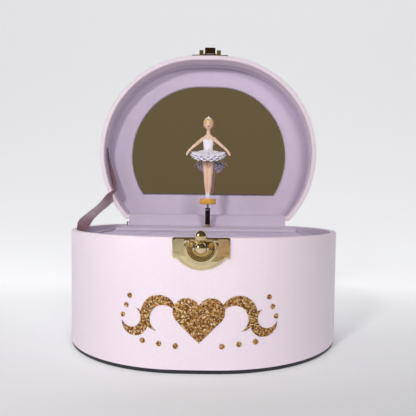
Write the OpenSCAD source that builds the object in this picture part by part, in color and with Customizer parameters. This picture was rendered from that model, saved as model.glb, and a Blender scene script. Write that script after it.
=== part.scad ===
// Wind-up music box: a D-shaped covered case with a hinged mirror lid, a figure that turns
// on a sprung post and folds down with the lid, ring rolls, side wells, a snap latch and a
// clockwork movement wound by a key in the back wall.
// Millimetres. X to the right, Y to the back, Z up. The origin is on the underside, on the
// centre line and level with the widest line of the case. The lid stands open at rest.

/* [Box] */
// Width across the two round sides
box_w = 160; // [150:1:180]
// Radius of the round sides
side_r = 72.3; // [70:0.1:74]
// Radius of the slightly bowed front
front_r = 400; // [300:10:600]
// Distance from the widest line back to the flat back
back_y = 49.2; // [48:0.1:50]
// Height of the base up to its rim
base_h = 65; // [65:1:72]
// Depth of the lid from its rim to its top
lid_h = 22.7; // [22:0.1:25]
// How far the open lid leans back past upright, in degrees
lid_lean = 3; // [0:1:8]
// Gap between the two rims when the lid is shut
rim_gap = 0.3; // [0.2:0.1:0.5]

/* [Walls] */
// Thickness of the leatherette covering
cover_t = 0.6; // [0.5:0.1:0.8]
// Thickness of the board walls
board_t = 2.2; // [2:0.1:2.4]
// Thickness of the lining
lining_t = 0.5; // [0.4:0.1:0.6]
// Thickness of the black board under the case
foot_t = 2; // [1.5:0.1:3]
// Depth of the covering turned in over the lid rim
turn_in = 10; // [8:0.5:12]
// Distance from the edge of the lid to the edge of the mirror
mirror_inset = 20; // [18:0.5:24]

/* [Inside] */
// How far the deck lies below the rim
deck_drop = 1; // [1:0.1:2]
// Half the width of the tray between the two side wells
tray_x = 61; // [58:0.5:62]
// Front edge of the deck
deck_front = 16; // [14:0.5:17]
// Distance between the ring rolls
roll_pitch = 23; // [21:0.5:23]
// Number of ring rolls
roll_n = 3; // [2:1:3]

/* [Post and figure] */
// Post's offset from the centre line
post_x = 0.5; // [0:0.1:1]
// Post's distance behind the widest line
post_y = 36; // [35:0.1:37]
// Height at which the sprung post bends
fold_z = 73.3; // [73:0.1:74]
// Top of the stand disc, where the feet are
feet_z = 84; // [83:0.1:85]
// Height of the figure from feet to crown
figure_h = 57; // [54:0.5:58]
// Radius of the net skirt
skirt_r = 12.3; // [11:0.1:13]

/* [Lock] */
// Lock's offset from the centre line
lock_x = 0.8; // [0:0.1:1]
// Hasp's offset from the centre line
hasp_x = 0.4; // [0:0.1:1]
// Width of the lock plate and the hasp plate
plate_w = 27; // [25:0.5:29]
// Radius of the latch ball
ball_r = 2.8; // [2.5:0.1:2.9]

/* [Movement] */
// Height of the winding key's axis
key_z = 18.5; // [18.5:0.1:19]
// Radius of the pinned cylinder
drum_r = 6.5; // [6:0.1:6.6]
// Number of comb teeth
tine_n = 18; // [12:1:18]

/* [Hidden] */
$fn = 48;

wall_t = cover_t + board_t + lining_t;
floor_t = 2.4;
floor_top = foot_t + floor_t;
deck_z = base_h - deck_drop;
deck_t = 1.8;
side_cx = box_w / 2 - side_r;
front_cy = sqrt(pow(front_r - side_r, 2) - pow(side_cx, 2));
front_a = atan2(-front_cy, side_cx);
front_y = front_cy - front_r;
inner_back = back_y - wall_t;

// lid, drawn shut and turned open about the hinge line
rim_z = base_h + rim_gap;
lid_top = rim_z + lid_h;
top_board_t = 1.8;
panel_t = 1.4;
panel_z = lid_top - cover_t - top_board_t - panel_t;
mirror_t = 1;
mirror_stretch = 1.042;
mirror_drop = 0.7;
hinge_back = 1.6;
hinge_up = 1.7;
hinge_y = back_y + hinge_back;
hinge_z = rim_z + hinge_up;
knuckle_r = 1.5;
leaf_t = 0.6;
leaf_w = 18;
leaf_h = 9;
hinge_x = 38;
pin_r = 0.6;
running = 0.05;

// tray
tray_t = 2;
tray_z = 50;
roll_r = 11;
roll_gap = 0.2;
front_ledge_y = deck_front - roll_n * roll_pitch;

// lock
lock_top = base_h;
ear_h = 9.8;
lobe_z = 64.3;
lobe_r = 14.6;
plate_t = 0.6;
boss_r = 7.3;
boss_t = 3.4;
hub_z = 60.7;
hub_r = 2.2;
lever_y = front_y - plate_t - 5;
ball_z = 66.1;
neck_w = 2.4;
hasp_h = 10;
hasp_pin_y = front_y - 2.2;
hasp_pin_z = rim_z + 5.2;
post_w = 3;
post_h = 5.4;
post_gap = 6.5;
tongue_w = 7.8;
tongue_l = 5.4;
tongue_t = 0.7;
tongue_window = 5.7;

// movement
drum_y = post_y;
module_a = 0.55;
module_b = 0.5;
backlash = 0.1;
top_teeth = 32;
spindle_teeth = 16;
gov_teeth = 8;
gov_wheel_teeth = 28;
brake_teeth = 8;
pinion_teeth = 10;
main_teeth = 40;
drum_x = post_x - module_a * (top_teeth + spindle_teeth) / 2 - backlash;
gov_x = drum_x - module_a * (top_teeth + gov_teeth) / 2 - backlash;
brake_x = gov_x - module_b * (gov_wheel_teeth + brake_teeth) / 2 - backlash;
main_r = module_a * main_teeth / 2;
pinion_r = module_a * pinion_teeth / 2;
bed_t = 2;
bed_y = inner_back - bed_t;
bed_x0 = brake_x - 5;
bed_x1 = post_x + 19;
cock_y = 33;
cock_z = 58;
cock_t = 1.2;
arbor_r = 1.5;
key_y = back_y + 3;
drum_z0 = 34;
drum_z1 = 51.6;
pin_l = 0.6;
comb_gap = 0.2;
comb_t = 0.8;
tine_l = 12;
comb_base = 8.5;
gear_z = 55.3;
wheel_z = 52.2;
disc_z = 47;
stop_travel = 1.8;
wire_r = 0.5;
wire_x = -57.5;
wire_y = 43;
wire_foot_z = base_h + 1.4;

// figure
figure_r = 4.4;
crown_z = feet_z + figure_h;
head_z = crown_z - figure_r - 0.5;
hip_z = feet_z + figure_h * 0.5;
neck_z = feet_z + figure_h * 0.8;
hand_x = 15;
hand_z = feet_z + figure_h * 0.6;

function arc_points(cx, cy, r, a0, a1, n) =
  [for (i = [0:n]) [cx + r * cos(a0 + (a1 - a0) * i / n), cy + r * sin(a0 + (a1 - a0) * i / n)]];

// plan of the case, drawn t inside the outer face
function outline(t) =
  let (back_a = asin((back_y - t) / (side_r - t)),
    right = arc_points(side_cx, 0, side_r - t, back_a, front_a, 26),
    front = arc_points(0, front_cy, front_r - t, front_a, -180 - front_a, 4),
    left = [for (i = [len(right) - 1:-1:0]) [-right[i][0], right[i][1]]])
  concat(right, [for (i = [1:3]) front[i]], left);

// ring of points of a straight-sided gear tooth form
function gear_points(teeth, m, tip = 0.8, root = 1.15, width = 0.36) =
  let (r = m * teeth / 2, pitch = 360 / teeth, half = pitch * width / 2)
  [for (i = [0:teeth - 1], k = [0:3])
    let (rr = (k == 1 || k == 2) ? r + tip * m : r - root * m,
      a = i * pitch + (k < 2 ? -1 : 1) * half * ((k == 1 || k == 2) ? 0.62 : 1.25))
    [rr * cos(a), rr * sin(a)]];

module prism(t, z0, z1) {
  translate([0, 0, z0]) linear_extrude(z1 - z0) polygon(outline(t));
}

module wall(t0, t1, z0, z1) {
  difference() {
    prism(t0, z0, z1);
    prism(t1, z0 - 1, z1 + 1);
  }
}

module lid_pose() {
  translate([0, hinge_y, hinge_z]) rotate([-90 - lid_lean, 0, 0])
    translate([0, -hinge_y, -hinge_z]) children();
}

module block(x0, x1, y0, y1, z0, z1) {
  translate([x0, y0, z0]) cube([x1 - x0, y1 - y0, z1 - z0]);
}

module along_x(x0, x1, y, z, r) {
  translate([x0, y, z]) rotate([0, 90, 0]) cylinder(h = x1 - x0, r = r);
}

module along_y(x, y0, y1, z, r) {
  translate([x, y0, z]) rotate([-90, 0, 0]) cylinder(h = y1 - y0, r = r);
}

module along_z(x, y, z0, z1, r) {
  translate([x, y, z0]) cylinder(h = z1 - z0, r = r);
}

module rod(a, b, r) {
  d = b - a;
  translate(a) rotate([0, acos(d[2] / norm(d)), atan2(d[1], d[0])]) cylinder(h = norm(d), r = r);
}

module gear(x, y, z0, z1, teeth, m, phase = 0) {
  translate([x, y, z0]) rotate([0, 0, phase]) linear_extrude(z1 - z0) polygon(gear_points(teeth, m));
}

// ---- case ----

module base_board() {
  color("black") prism(cover_t / 2, 0, foot_t);
}

module case_floor() {
  color("tan") prism(cover_t + board_t, foot_t, floor_top);
}

module back_holes(r_key, r_screw) {
  along_y(drum_x, bed_y - 1, back_y + 1, key_z, r_key);
  movement_screw_places() along_y(0, bed_y - 1, back_y - cover_t, 0, r_screw);
}

module wire_notch() {
  block(wire_x - 1, wire_x + 1, inner_back - 1, back_y + 1, wire_foot_z - stop_travel - 1.1, base_h + 1);
}

module case_shell() {
  color("tan") difference() {
    wall(cover_t, cover_t + board_t, foot_t, base_h - cover_t);
    back_holes(3.1, 1);
    wire_notch();
  }
}

module case_cover() {
  color("lavenderblush") difference() {
    union() {
      wall(0, cover_t, foot_t, base_h - cover_t);
      wall(0, wall_t, base_h - cover_t, base_h);
    }
    along_y(drum_x, bed_y - 1, back_y + 1, key_z, 3.1);
    wire_notch();
  }
}

module case_lining() {
  color("thistle") difference() {
    wall(cover_t + board_t, wall_t, floor_top, base_h - cover_t);
    back_holes(3.1, 1);
    wire_notch();
  }
}

divider_t = 1.2;
divider_gap = 0.1;

module tray_plan(x) {
  intersection() {
    polygon(outline(wall_t + divider_gap));
    translate([-x, -box_w]) square([2 * x, 2 * box_w]);
  }
}

module well_dividers() {
  color("thistle") translate([0, 0, floor_top]) linear_extrude(deck_z - floor_top) difference() {
    tray_plan(tray_x);
    tray_plan(tray_x - divider_t);
  }
}

module tray_board() {
  color("tan") translate([0, 0, tray_z - tray_t]) linear_extrude(tray_t) intersection() {
    tray_plan(tray_x - divider_t);
    translate([-box_w, -box_w]) square([2 * box_w, box_w + deck_front]);
  }
}

module deck() {
  color("thistle") difference() {
    union() {
      translate([0, 0, deck_z - deck_t]) linear_extrude(deck_t) intersection() {
        tray_plan(tray_x - divider_t);
        translate([-box_w, deck_front]) square([2 * box_w, box_w]);
      }
      block(divider_t - tray_x, tray_x - divider_t, deck_front, deck_front + divider_t, tray_z - tray_t, deck_z);
      translate([0, 0, tray_z]) linear_extrude(deck_z - tray_z) intersection() {
        tray_plan(tray_x - divider_t);
        translate([-box_w, -box_w]) square([2 * box_w, box_w + front_ledge_y]);
      }
    }
    along_z(post_x, post_y, deck_z - deck_t - 1, deck_z + 1, 2.25);
    along_z(wire_x, wire_y, deck_z - deck_t - 1, deck_z + 1, wire_r + 0.3);
  }
}

module ring_roll(i) {
  y = deck_front - roll_pitch * (i + 0.5);
  r = roll_r - 0.3;
  half = tray_x - divider_t - roll_gap;
  color("plum") intersection() {
    union() {
      along_x(-half, half, y, deck_z - r, r);
      block(-half, half, y - r, y + r, tray_z, deck_z - r);
    }
    prism(wall_t + divider_gap + roll_gap, tray_z, deck_z + 1);
  }
}

module deck_bush() {
  color("gold") difference() {
    union() {
      along_z(post_x, post_y, deck_z - deck_t, deck_z, 2.2);
      along_z(post_x, post_y, deck_z, deck_z + 0.25, 3.6);
    }
    along_z(post_x, post_y, deck_z - deck_t - 1, deck_z + 1, 1.25);
  }
}

// flat scroll work laid on the bowed front: a heart between two curled ribbons and stars
motif_z = 27;
motif_t = 0.3;

module heart_plan(w) {
  r = w * 0.26;
  for (side = [-1, 1]) translate([side * r * 0.9, r * 0.45]) circle(r = r);
  polygon(r * [[0, -1.86], [1.6, -0.26], [0, 0.88], [-1.6, -0.26]]);
}

module curl_plan(r, t) {
  difference() {
    circle(r = r);
    translate([t, t * 0.6]) circle(r = r - t * 0.6);
  }
}

module motif_plan() {
  heart_plan(25);
  for (side = [-1, 1]) mirror([side > 0 ? 0 : 1, 0]) {
    translate([19, 2]) rotate(200) curl_plan(8.6, 3.1);
    translate([31, -3]) rotate(20) curl_plan(6.6, 2.6);
    for (i = [0:2]) translate([33.5 + 1.8 * i, 9.5 - 4.8 * i]) circle(r = 1.2);
    for (i = [0:2]) translate([11 + 8 * i, -13.5 + 0.9 * i]) circle(r = 1.3);
  }
}

module glitter_motif() {
  color("peru") intersection() {
    difference() {
      prism(-motif_t, 0, base_h);
      prism(0, -1, base_h + 1);
    }
    translate([0, 0, motif_z]) rotate([90, 0, 0]) linear_extrude(box_w) motif_plan();
  }
}

// ---- lock on the base ----

module lock_nail_places() {
  for (side = [-1, 1]) translate([lock_x + side * (plate_w / 2 - 2), 0, lock_top - ear_h + 1.8]) children();
}

module lock_plate() {
  color("gold") difference() {
    union() {
      block(lock_x - plate_w / 2, lock_x + plate_w / 2, front_y - plate_t, front_y, lock_top - ear_h, lock_top);
      intersection() {
        along_y(lock_x, front_y - plate_t, front_y, lobe_z, lobe_r);
        block(lock_x - plate_w / 2, lock_x + plate_w / 2, front_y - 2, front_y + 1, lobe_z - lobe_r - 1, lock_top);
      }
    }
    block(lock_x - box_w, lock_x + box_w, front_y - 2, front_y + 1, lock_top, lock_top + box_w);
    lock_nail_places() along_y(0, front_y - 2, front_y + 1, 0, 0.65);
  }
}

slot_w = neck_w + 0.8;

module lock_boss() {
  y0 = front_y - plate_t;
  color("gold") difference() {
    union() {
      along_y(lock_x, y0 - boss_t * 0.5, y0, hub_z, boss_r);
      along_y(lock_x, y0 - boss_t, y0, hub_z, boss_r - 2.4);
      along_x(lock_x - 3.6, lock_x + 3.6, lever_y, hub_z, hub_r);
      block(lock_x - 3.6, lock_x + 3.6, lever_y, y0, hub_z - hub_r, hub_z + hub_r);
    }
    block(lock_x - boss_r, lock_x + boss_r, y0 - boss_t - 0.2, y0 + 1, hub_z + hub_r + 0.2, lock_top + 5);
    block(lock_x - slot_w / 2, lock_x + slot_w / 2, lever_y - hub_r - 1, y0 - 1, hub_z - hub_r - 1.2, hub_z + boss_r);
    along_x(lock_x - 5, lock_x + 5, lever_y, hub_z, pin_r + running);
  }
}

module lock_pin() {
  color("silver") along_x(lock_x - 3.9, lock_x + 3.9, lever_y, hub_z, pin_r);
}

module latch_ball() {
  color("gold") difference() {
    union() {
      translate([lock_x, lever_y, ball_z]) sphere(r = ball_r);
      along_x(lock_x - neck_w / 2, lock_x + neck_w / 2, lever_y, hub_z, 1.5);
      block(lock_x - neck_w / 2, lock_x + neck_w / 2, lever_y - 0.9, lever_y + 0.9, hub_z, ball_z);
      block(lock_x - 0.9, lock_x + 0.9, lever_y, lever_y + 3.9, ball_z + 0.3, ball_z + 1.1);
    }
    along_x(lock_x - 5, lock_x + 5, lever_y, hub_z, pin_r + running);
  }
}

module lock_spring() {
  y0 = front_y - plate_t;
  color("silver") block(lock_x - 0.8, lock_x + 0.8, y0 - 1.4, y0 - 1, hub_z - 1.5, hub_z + 1.8);
}

module case_nails() {
  color("gold") {
    lock_nail_places() nail_front();
    hinge_nail_places(base_h - 5.5) nail_back();
  }
}

module nail_front() {
  along_y(0, front_y - plate_t, front_y, 0, 0.6);
  along_y(0, front_y - plate_t - 0.4, front_y - plate_t, 0, 1.1);
}

module nail_back() {
  along_y(0, back_y, back_y + leaf_t, 0, 0.6);
  along_y(0, back_y + leaf_t, back_y + leaf_t + 0.4, 0, 1.1);
}

// ---- hinges ----

module hinge_nail_places(z) {
  for (side = [-1, 1], k = [-1, 1]) translate([side * hinge_x + k * leaf_w * 0.33, 0, z]) children();
}

module leaf(z0, z1, k0, k1, hole_z) {
  for (side = [-1, 1]) difference() {
    union() {
      translate([side * hinge_x, 0, 0]) block(-leaf_w / 2, leaf_w / 2, back_y, back_y + leaf_t, z0, z1);
      for (k = [k0:2:k1]) translate([side * hinge_x, 0, 0]) {
        x0 = -leaf_w / 2 + leaf_w * k / 5 + 0.15;
        x1 = x0 + leaf_w / 5 - 0.3;
        along_x(x0, x1, hinge_y, hinge_z, knuckle_r);
        block(x0, x1, back_y, back_y + leaf_t, min(z0, hinge_z + 0.1), max(z1, hinge_z - 0.1));
      }
    }
    along_x(-box_w, box_w, hinge_y, hinge_z, pin_r + running);
    for (k = [-1, 1]) along_y(side * hinge_x + k * leaf_w * 0.33, back_y - 1, back_y + 2, hole_z, 0.65);
  }
}

module hinge_leaves_case() {
  color("gold") leaf(base_h - leaf_h, base_h - 0.2, 0, 4, base_h - 5.5);
}

module hinge_leaves_lid() {
  color("gold") lid_pose() leaf(hinge_z + knuckle_r + 0.3, hinge_z + knuckle_r + leaf_h, 1, 3, hinge_z + 7);
}

module lid_nails() {
  color("gold") lid_pose() {
    hinge_nail_places(hinge_z + 7) nail_back();
    hasp_nail_places() nail_front();
  }
}

module hinge_pins() {
  color("silver") for (side = [-1, 1])
    along_x(side * hinge_x - leaf_w / 2, side * hinge_x + leaf_w / 2, hinge_y, hinge_z, pin_r);
}

// lining cloth that bridges the two rims along the back
strip_x = 57;
strip_t = 0.3;

module hinge_strip() {
  y1 = inner_back - 0.3;
  low = [[y1, deck_z + 0.1], [y1, base_h + 0.8], [back_y - 0.5, hinge_z + 5.4], [back_y + 0.3, hinge_z + 5.7]];
  color("thistle") translate([-strip_x, 0, 0]) rotate([90, 0, 90]) linear_extrude(2 * strip_x)
    polygon(concat(low, [for (i = [3:-1:0]) low[i] + [-strip_t, i > 1 ? strip_t : 0]]));
}

// slack ribbon that keeps the lid from falling back, from the lid wall to the case wall
stay_low = [-73.1, -20, base_h - 3.5];
stay_top = [-75.9, 57, 121.5];
stay_w = 7;
stay_t = 0.5;

module ribbon_stay() {
  color("rosybrown") multmatrix(stay_place()) translate([-stay_t / 2, -stay_w / 2, 0])
    cube([stay_t, stay_w, norm(stay_top - stay_low)]);
}

function stay_place() =
  let (d = stay_top - stay_low, w = d / norm(d), s = norm(cross([1, 0, 0], w)),
    v = cross(w, [1, 0, 0]) / s, u = cross(v, w))
  [[u[0], v[0], w[0], stay_low[0]], [u[1], v[1], w[1], stay_low[1]],
   [u[2], v[2], w[2], stay_low[2]], [0, 0, 0, 1]];

// ---- lid ----

module lid_shell() {
  color("tan") lid_pose() {
    wall(cover_t, cover_t + board_t, rim_z + cover_t, lid_top - cover_t);
    prism(cover_t + board_t, lid_top - cover_t - top_board_t, lid_top - cover_t);
  }
}

module lid_cover() {
  color("lavenderblush") lid_pose() {
    wall(0, cover_t, rim_z, lid_top);
    prism(cover_t, lid_top - cover_t, lid_top);
    wall(cover_t, wall_t, rim_z, rim_z + cover_t);
    wall(wall_t - lining_t, wall_t, rim_z + cover_t, rim_z + turn_in);
  }
}

module lid_lining() {
  color("thistle") lid_pose() wall(wall_t - lining_t, wall_t, rim_z + turn_in, panel_z);
}

// the lid's own plan, a little drawn out towards the front of the lid
function mirror_plan() = let (low = back_y - mirror_inset)
  [for (p = outline(mirror_inset)) [p[0], low + (p[1] - low) * mirror_stretch + mirror_drop]];

module lid_panel() {
  color("thistle") lid_pose() difference() {
    prism(cover_t + board_t, panel_z, panel_z + panel_t);
    translate([0, 0, panel_z - 1]) linear_extrude(panel_t + 2) polygon(mirror_plan());
  }
}

module mirror_glass() {
  color("silver") lid_pose() translate([0, 0, panel_z + panel_t - mirror_t])
    linear_extrude(mirror_t) polygon(mirror_plan());
}

module hasp_nail_places() {
  for (side = [-1, 1]) translate([hasp_x + side * (plate_w / 2 - 2), 0, rim_z + 8.3]) children();
}

module hasp_plate() {
  z0 = rim_z + 0.8;
  color("gold") lid_pose() difference() {
    union() {
      block(hasp_x - plate_w / 2, hasp_x + plate_w / 2, front_y - plate_t, front_y, z0, z0 + hasp_h);
      for (side = [-1, 1]) translate([hasp_x + side * post_gap, 0, 0]) {
        block(-post_w / 2, post_w / 2, front_y - post_h, front_y - plate_t, hasp_pin_z - 1.3, hasp_pin_z + 1.3);
      }
    }
    along_x(-box_w, box_w, hasp_pin_y, hasp_pin_z, pin_r + running);
    hasp_nail_places() along_y(0, front_y - 2, front_y + 1, 0, 0.65);
  }
}

module hasp_pin() {
  color("silver") lid_pose()
    along_x(hasp_x - post_gap - post_w / 2, hasp_x + post_gap + post_w / 2, hasp_pin_y, hasp_pin_z, pin_r);
}

// drawn standing straight out from the shut lid's front
module hasp_tongue() {
  color("saddlebrown") lid_pose() difference() {
    union() {
      along_x(hasp_x - tongue_w / 2, hasp_x + tongue_w / 2, hasp_pin_y, hasp_pin_z, 1.1);
      block(hasp_x - tongue_w / 2, hasp_x + tongue_w / 2, hasp_pin_y - tongue_l, hasp_pin_y,
        hasp_pin_z - tongue_t / 2, hasp_pin_z + tongue_t / 2);
    }
    along_x(-box_w, box_w, hasp_pin_y, hasp_pin_z, pin_r + running);
    block(hasp_x - tongue_window / 2, hasp_x + tongue_window / 2, hasp_pin_y - tongue_l + 0.9,
      hasp_pin_y - 1.5, hasp_pin_z - 2, hasp_pin_z + 2);
  }
}

// ---- movement ----

module movement_screw_places() {
  for (x = [bed_x0 + 3, bed_x1 - 3], z = [9, 54]) translate([x, 0, z]) children();
}

module movement_frame() {
  color("silver") difference() {
    union() {
      block(bed_x0, bed_x1, bed_y, inner_back, floor_top + 0.6, cock_z + cock_t);
      block(bed_x0 + 1, post_x + 4, cock_y, bed_y, cock_z, cock_z + cock_t);
      block(drum_x - 3, drum_x + 3, cock_y, bed_y, drum_z0 - 1.8, drum_z0 - 0.6);
      block(post_x - 3, post_x + 3, cock_y, bed_y, gear_z - 2.4, gear_z - 1);
      block(gov_x - 2.6, gov_x + 2.6, cock_y, bed_y, wheel_z - 1.8, wheel_z - 0.6);
      block(brake_x - 2.6, brake_x + 2.6, cock_y, bed_y, disc_z - 9, disc_z - 8);
      block(drum_x + comb_x() + tine_l + 0.6, drum_x + comb_x() + tine_l + comb_base,
        drum_y + comb_t / 2, bed_y, drum_z0, drum_z1);
    }
    along_y(drum_x, bed_y - 1, inner_back + 1, key_z, arbor_r + 0.06);
    along_z(drum_x, drum_y, 0, base_h, 0.85);
    block(drum_x - 5.8, drum_x + 5.8, bed_y - 1, inner_back + 1, gear_z - 0.6, gear_z + 2.5);
    along_z(post_x, post_y, cock_z - 1, cock_z + 2, 1.25);
    along_z(post_x, post_y, gear_z - 3, gear_z - 0.5, 0.75);
    along_z(gov_x, drum_y, wheel_z - 3, base_h, 0.65);
    along_z(brake_x, drum_y, disc_z - 10, base_h, 0.65);
    movement_screw_places() along_y(0, bed_y - 1, inner_back + 1, 0, 1);
    comb_screw_places() along_y(0, drum_y, bed_y, 0, 0.85);
  }
}

module movement_screws() {
  color("silver") movement_screw_places() screw(bed_y, 4.4, 2, 0.95);
}

// round screw with a driver slot, its head in front of the plane y
module screw(y, length, head_r, shank_r) {
  difference() {
    union() {
      along_y(0, y, y + length, 0, shank_r);
      along_y(0, y - 1, y, 0, head_r);
    }
    block(-head_r, head_r, y - 1.1, y - 0.6, -0.25, 0.25);
  }
}

function comb_x() = drum_r + pin_l + comb_gap;

module comb_screw_places() {
  for (z = [drum_z0 + 4, drum_z1 - 4])
    translate([drum_x + comb_x() + tine_l + comb_base / 2 + 0.3, 0, z]) children();
}

module comb() {
  pitch = (drum_z1 - drum_z0 - 0.4) / tine_n;
  x0 = drum_x + comb_x();
  y0 = drum_y - comb_t / 2;
  color("silver") difference() {
    union() {
      block(x0 + tine_l, x0 + tine_l + comb_base, y0, y0 + comb_t, drum_z0, drum_z1);
      for (i = [0:tine_n - 1])
        block(x0, x0 + tine_l + 0.5, y0, y0 + comb_t, drum_z0 + 0.3 + pitch * i, drum_z0 + 0.3 + pitch * (i + 0.74));
    }
    comb_screw_places() along_y(0, y0 - 1, y0 + 2, 0, 0.85);
  }
}

module comb_screws() {
  color("silver") comb_screw_places() screw(drum_y - comb_t / 2, 5.5, 1.6, 0.8);
}

barrel_r = 9.6;
barrel_y = drum_y - 1.6;

module spring_barrel() {
  color("gainsboro") difference() {
    along_y(drum_x, barrel_y, bed_y, key_z, barrel_r);
    along_y(drum_x, barrel_y + 0.8, bed_y + 1, key_z, barrel_r - 0.8);
    along_y(drum_x, barrel_y - 1, bed_y + 1, key_z, arbor_r + 0.06);
  }
}

// flat steel strip wound in a spiral
spiral_turns = 6;
spiral_steps = 20;

module mainspring() {
  n = spiral_turns * spiral_steps;
  r0 = arbor_r + 0.4;
  r1 = barrel_r - 1.4;
  strip = 0.25;
  spiral = [for (i = [0:n]) let (r = r0 + (r1 - r0) * i / n, a = 360 * i / spiral_steps) [r, a]];
  edge = concat([for (p = spiral) p[0] * [cos(p[1]), sin(p[1])]],
    [for (i = [n:-1:0]) (spiral[i][0] + strip) * [cos(spiral[i][1]), sin(spiral[i][1])]]);
  color("steelblue") translate([drum_x, bed_y - 0.4, key_z]) rotate([90, 0, 0])
    linear_extrude(bed_y - barrel_y - 1.6) polygon(edge);
}

module key_bush() {
  color("gold") difference() {
    union() {
      along_y(drum_x, inner_back, back_y, key_z, 3.05);
      along_y(drum_x, back_y, back_y + 0.8, key_z, 5.5);
    }
    along_y(drum_x, inner_back - 1, back_y + 2, key_z, arbor_r + 0.06);
  }
}

module winding_arbor() {
  color("silver") along_y(drum_x, barrel_y - 4.6, key_y + 5, key_z, arbor_r);
}

// butterfly key with a round hole in each wing
key_wing = 7;

module winding_key() {
  color("gold") difference() {
    union() {
      along_y(drum_x, key_y, key_y + 9, key_z, 2.6);
      block(drum_x - key_wing, drum_x + key_wing, key_y + 7.5, key_y + 14, key_z - 0.8, key_z + 0.8);
      for (side = [-1, 1]) along_z(drum_x + side * key_wing, key_y + 10.75, key_z - 0.8, key_z + 0.8, 5);
    }
    along_y(drum_x, key_y - 1, key_y + 5, key_z, arbor_r + 0.02);
    for (side = [-1, 1]) along_z(drum_x + side * key_wing, key_y + 10.75, key_z - 2, key_z + 2, 2.4);
  }
}

module main_wheel() {
  face_y = drum_y - pinion_r - 0.8;
  tip_y = drum_y - pinion_r + 0.45;
  tooth_w = 3.1416 * module_a * 0.34;
  color("gold") difference() {
    union() {
      along_y(drum_x, face_y - 1.4, face_y, key_z, main_r + 0.8);
      for (i = [0:main_teeth - 1]) translate([drum_x, 0, key_z]) rotate([0, 360 * i / main_teeth, 0])
        block(-tooth_w / 2, tooth_w / 2, face_y - 0.5, tip_y, main_r - 0.8, main_r + 0.7);
    }
    along_y(drum_x, face_y - 3, face_y + 3, key_z, arbor_r + 0.02);
    for (k = [0:4]) translate([drum_x, 0, key_z]) rotate([0, 72 * k, 0])
      along_y(0, face_y - 3, face_y + 0.5, 6.6, 2.4);
  }
}

// music pins follow a fixed pattern along and around the cylinder
module pinned_cylinder() {
  pitch = (drum_z1 - drum_z0 - 0.4) / tine_n;
  color("gold") difference() {
    union() {
      along_z(drum_x, drum_y, drum_z0, drum_z1, drum_r);
      for (i = [0:tine_n - 1], k = [0:2])
        translate([drum_x, drum_y, drum_z0 + 0.3 + pitch * (i + 0.37)])
          rotate([0, 0, 47 * i + 120 * k + 13 * i * k]) translate([drum_r - 0.4, 0, 0]) rotate([0, 90, 0])
            cylinder(h = pin_l + 0.4, r = 0.25, $fn = 16);
    }
    along_z(drum_x, drum_y, drum_z0 - 1, drum_z1 + 1, 0.82);
  }
}

module cylinder_arbor() {
  color("gold") {
    along_z(drum_x, drum_y, key_z + main_r - 1.1, cock_z + cock_t + 0.3, 0.8);
    gear(drum_x, drum_y, gear_z, gear_z + 2, top_teeth, module_a);
    gear(drum_x, drum_y, key_z + main_r - 1, key_z + main_r + 1, pinion_teeth, module_a);
  }
}

module governor_wheel() {
  color("gold") {
    along_z(gov_x, drum_y, wheel_z - 1.8, cock_z + cock_t, 0.6);
    gear(gov_x, drum_y, gear_z + 0.1, gear_z + 1.8, gov_teeth, module_a, 360 / gov_teeth / 2);
    gear(gov_x, drum_y, wheel_z, wheel_z + 1.2, gov_wheel_teeth, module_b);
  }
}

module air_brake() {
  color("gold") {
    along_z(brake_x, drum_y, disc_z - 9, cock_z + cock_t, 0.6);
    gear(brake_x, drum_y, wheel_z, wheel_z + 1.2, brake_teeth, module_b, 360 / brake_teeth / 2);
    along_z(brake_x, drum_y, disc_z, disc_z + 1, 3.6);
    block(brake_x - 4.6, brake_x + 4.6, drum_y - 0.25, drum_y + 0.25, disc_z - 7, disc_z + 0.5);
  }
}

// bent wire whose foot lies in a notch of the back rim, under the lid's edge
module stop_wire() {
  knee_z = disc_z + 1 + stop_travel + 0.3 + wire_r;
  foot = [wire_x, back_y - cover_t - 0.6, wire_foot_z];
  heel = [wire_x, wire_y, wire_foot_z];
  knee = [wire_x, wire_y, knee_z];
  pad = [brake_x - 2.6, drum_y + 1, knee_z];
  color("silver") {
    rod(heel, foot, wire_r);
    rod(knee, heel, wire_r);
    rod(knee, pad, wire_r);
    for (p = [heel, knee, pad]) translate(p) sphere(r = wire_r + 0.12);
  }
}

module wire_guide() {
  color("silver") difference() {
    block(wire_x - 1.4, wire_x + 1.6, wire_y - 1.6, inner_back, 53.5, 56.5);
    along_z(wire_x, wire_y, 50, 60, wire_r + running);
  }
}

// ---- turning post ----

seat_h = 1;
spring_r = 1.95;
spring_top = 76.2;
ferrule_h = 1.2;
stem_r = 0.8;
disc_h = 4;
disc_r = 5.9;

module turntable_spindle() {
  color("gold") {
    along_z(post_x, post_y, gear_z - 2.3, gear_z - 0.9, 0.7);
    along_z(post_x, post_y, gear_z - 0.9, deck_z + 0.4, 1.2);
    along_z(post_x, post_y, deck_z + 0.4, deck_z + 0.4 + seat_h, 2.4);
    gear(post_x, post_y, gear_z + 0.1, gear_z + 1.8, spindle_teeth, module_a, 360 / spindle_teeth / 2);
  }
}

module post_spring() {
  color("dimgray") difference() {
    along_z(post_x, post_y, deck_z + 0.4 + seat_h, spring_top, spring_r);
    along_z(post_x, post_y, deck_z, spring_top + 1, spring_r - 0.75);
  }
}

module post_ferrule() {
  color("dimgray") difference() {
    along_z(post_x, post_y, spring_top, spring_top + ferrule_h, 1.9);
    along_z(post_x, post_y, spring_top - 1, spring_top + 2, stem_r + running);
  }
}

module figure_stem() {
  color("silver") along_z(post_x, post_y, spring_top + 0.1, feet_z - disc_h, stem_r);
}

module stand_disc() {
  color("goldenrod") along_z(post_x, post_y, feet_z - disc_h, feet_z, disc_r);
}

torso_r = 3;

module limb(a, b, r0, r1) {
  d = b - a;
  translate(a) rotate([0, acos(d[2] / norm(d)), atan2(d[1], d[0])]) cylinder(h = norm(d), r1 = r0, r2 = r1);
}

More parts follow.
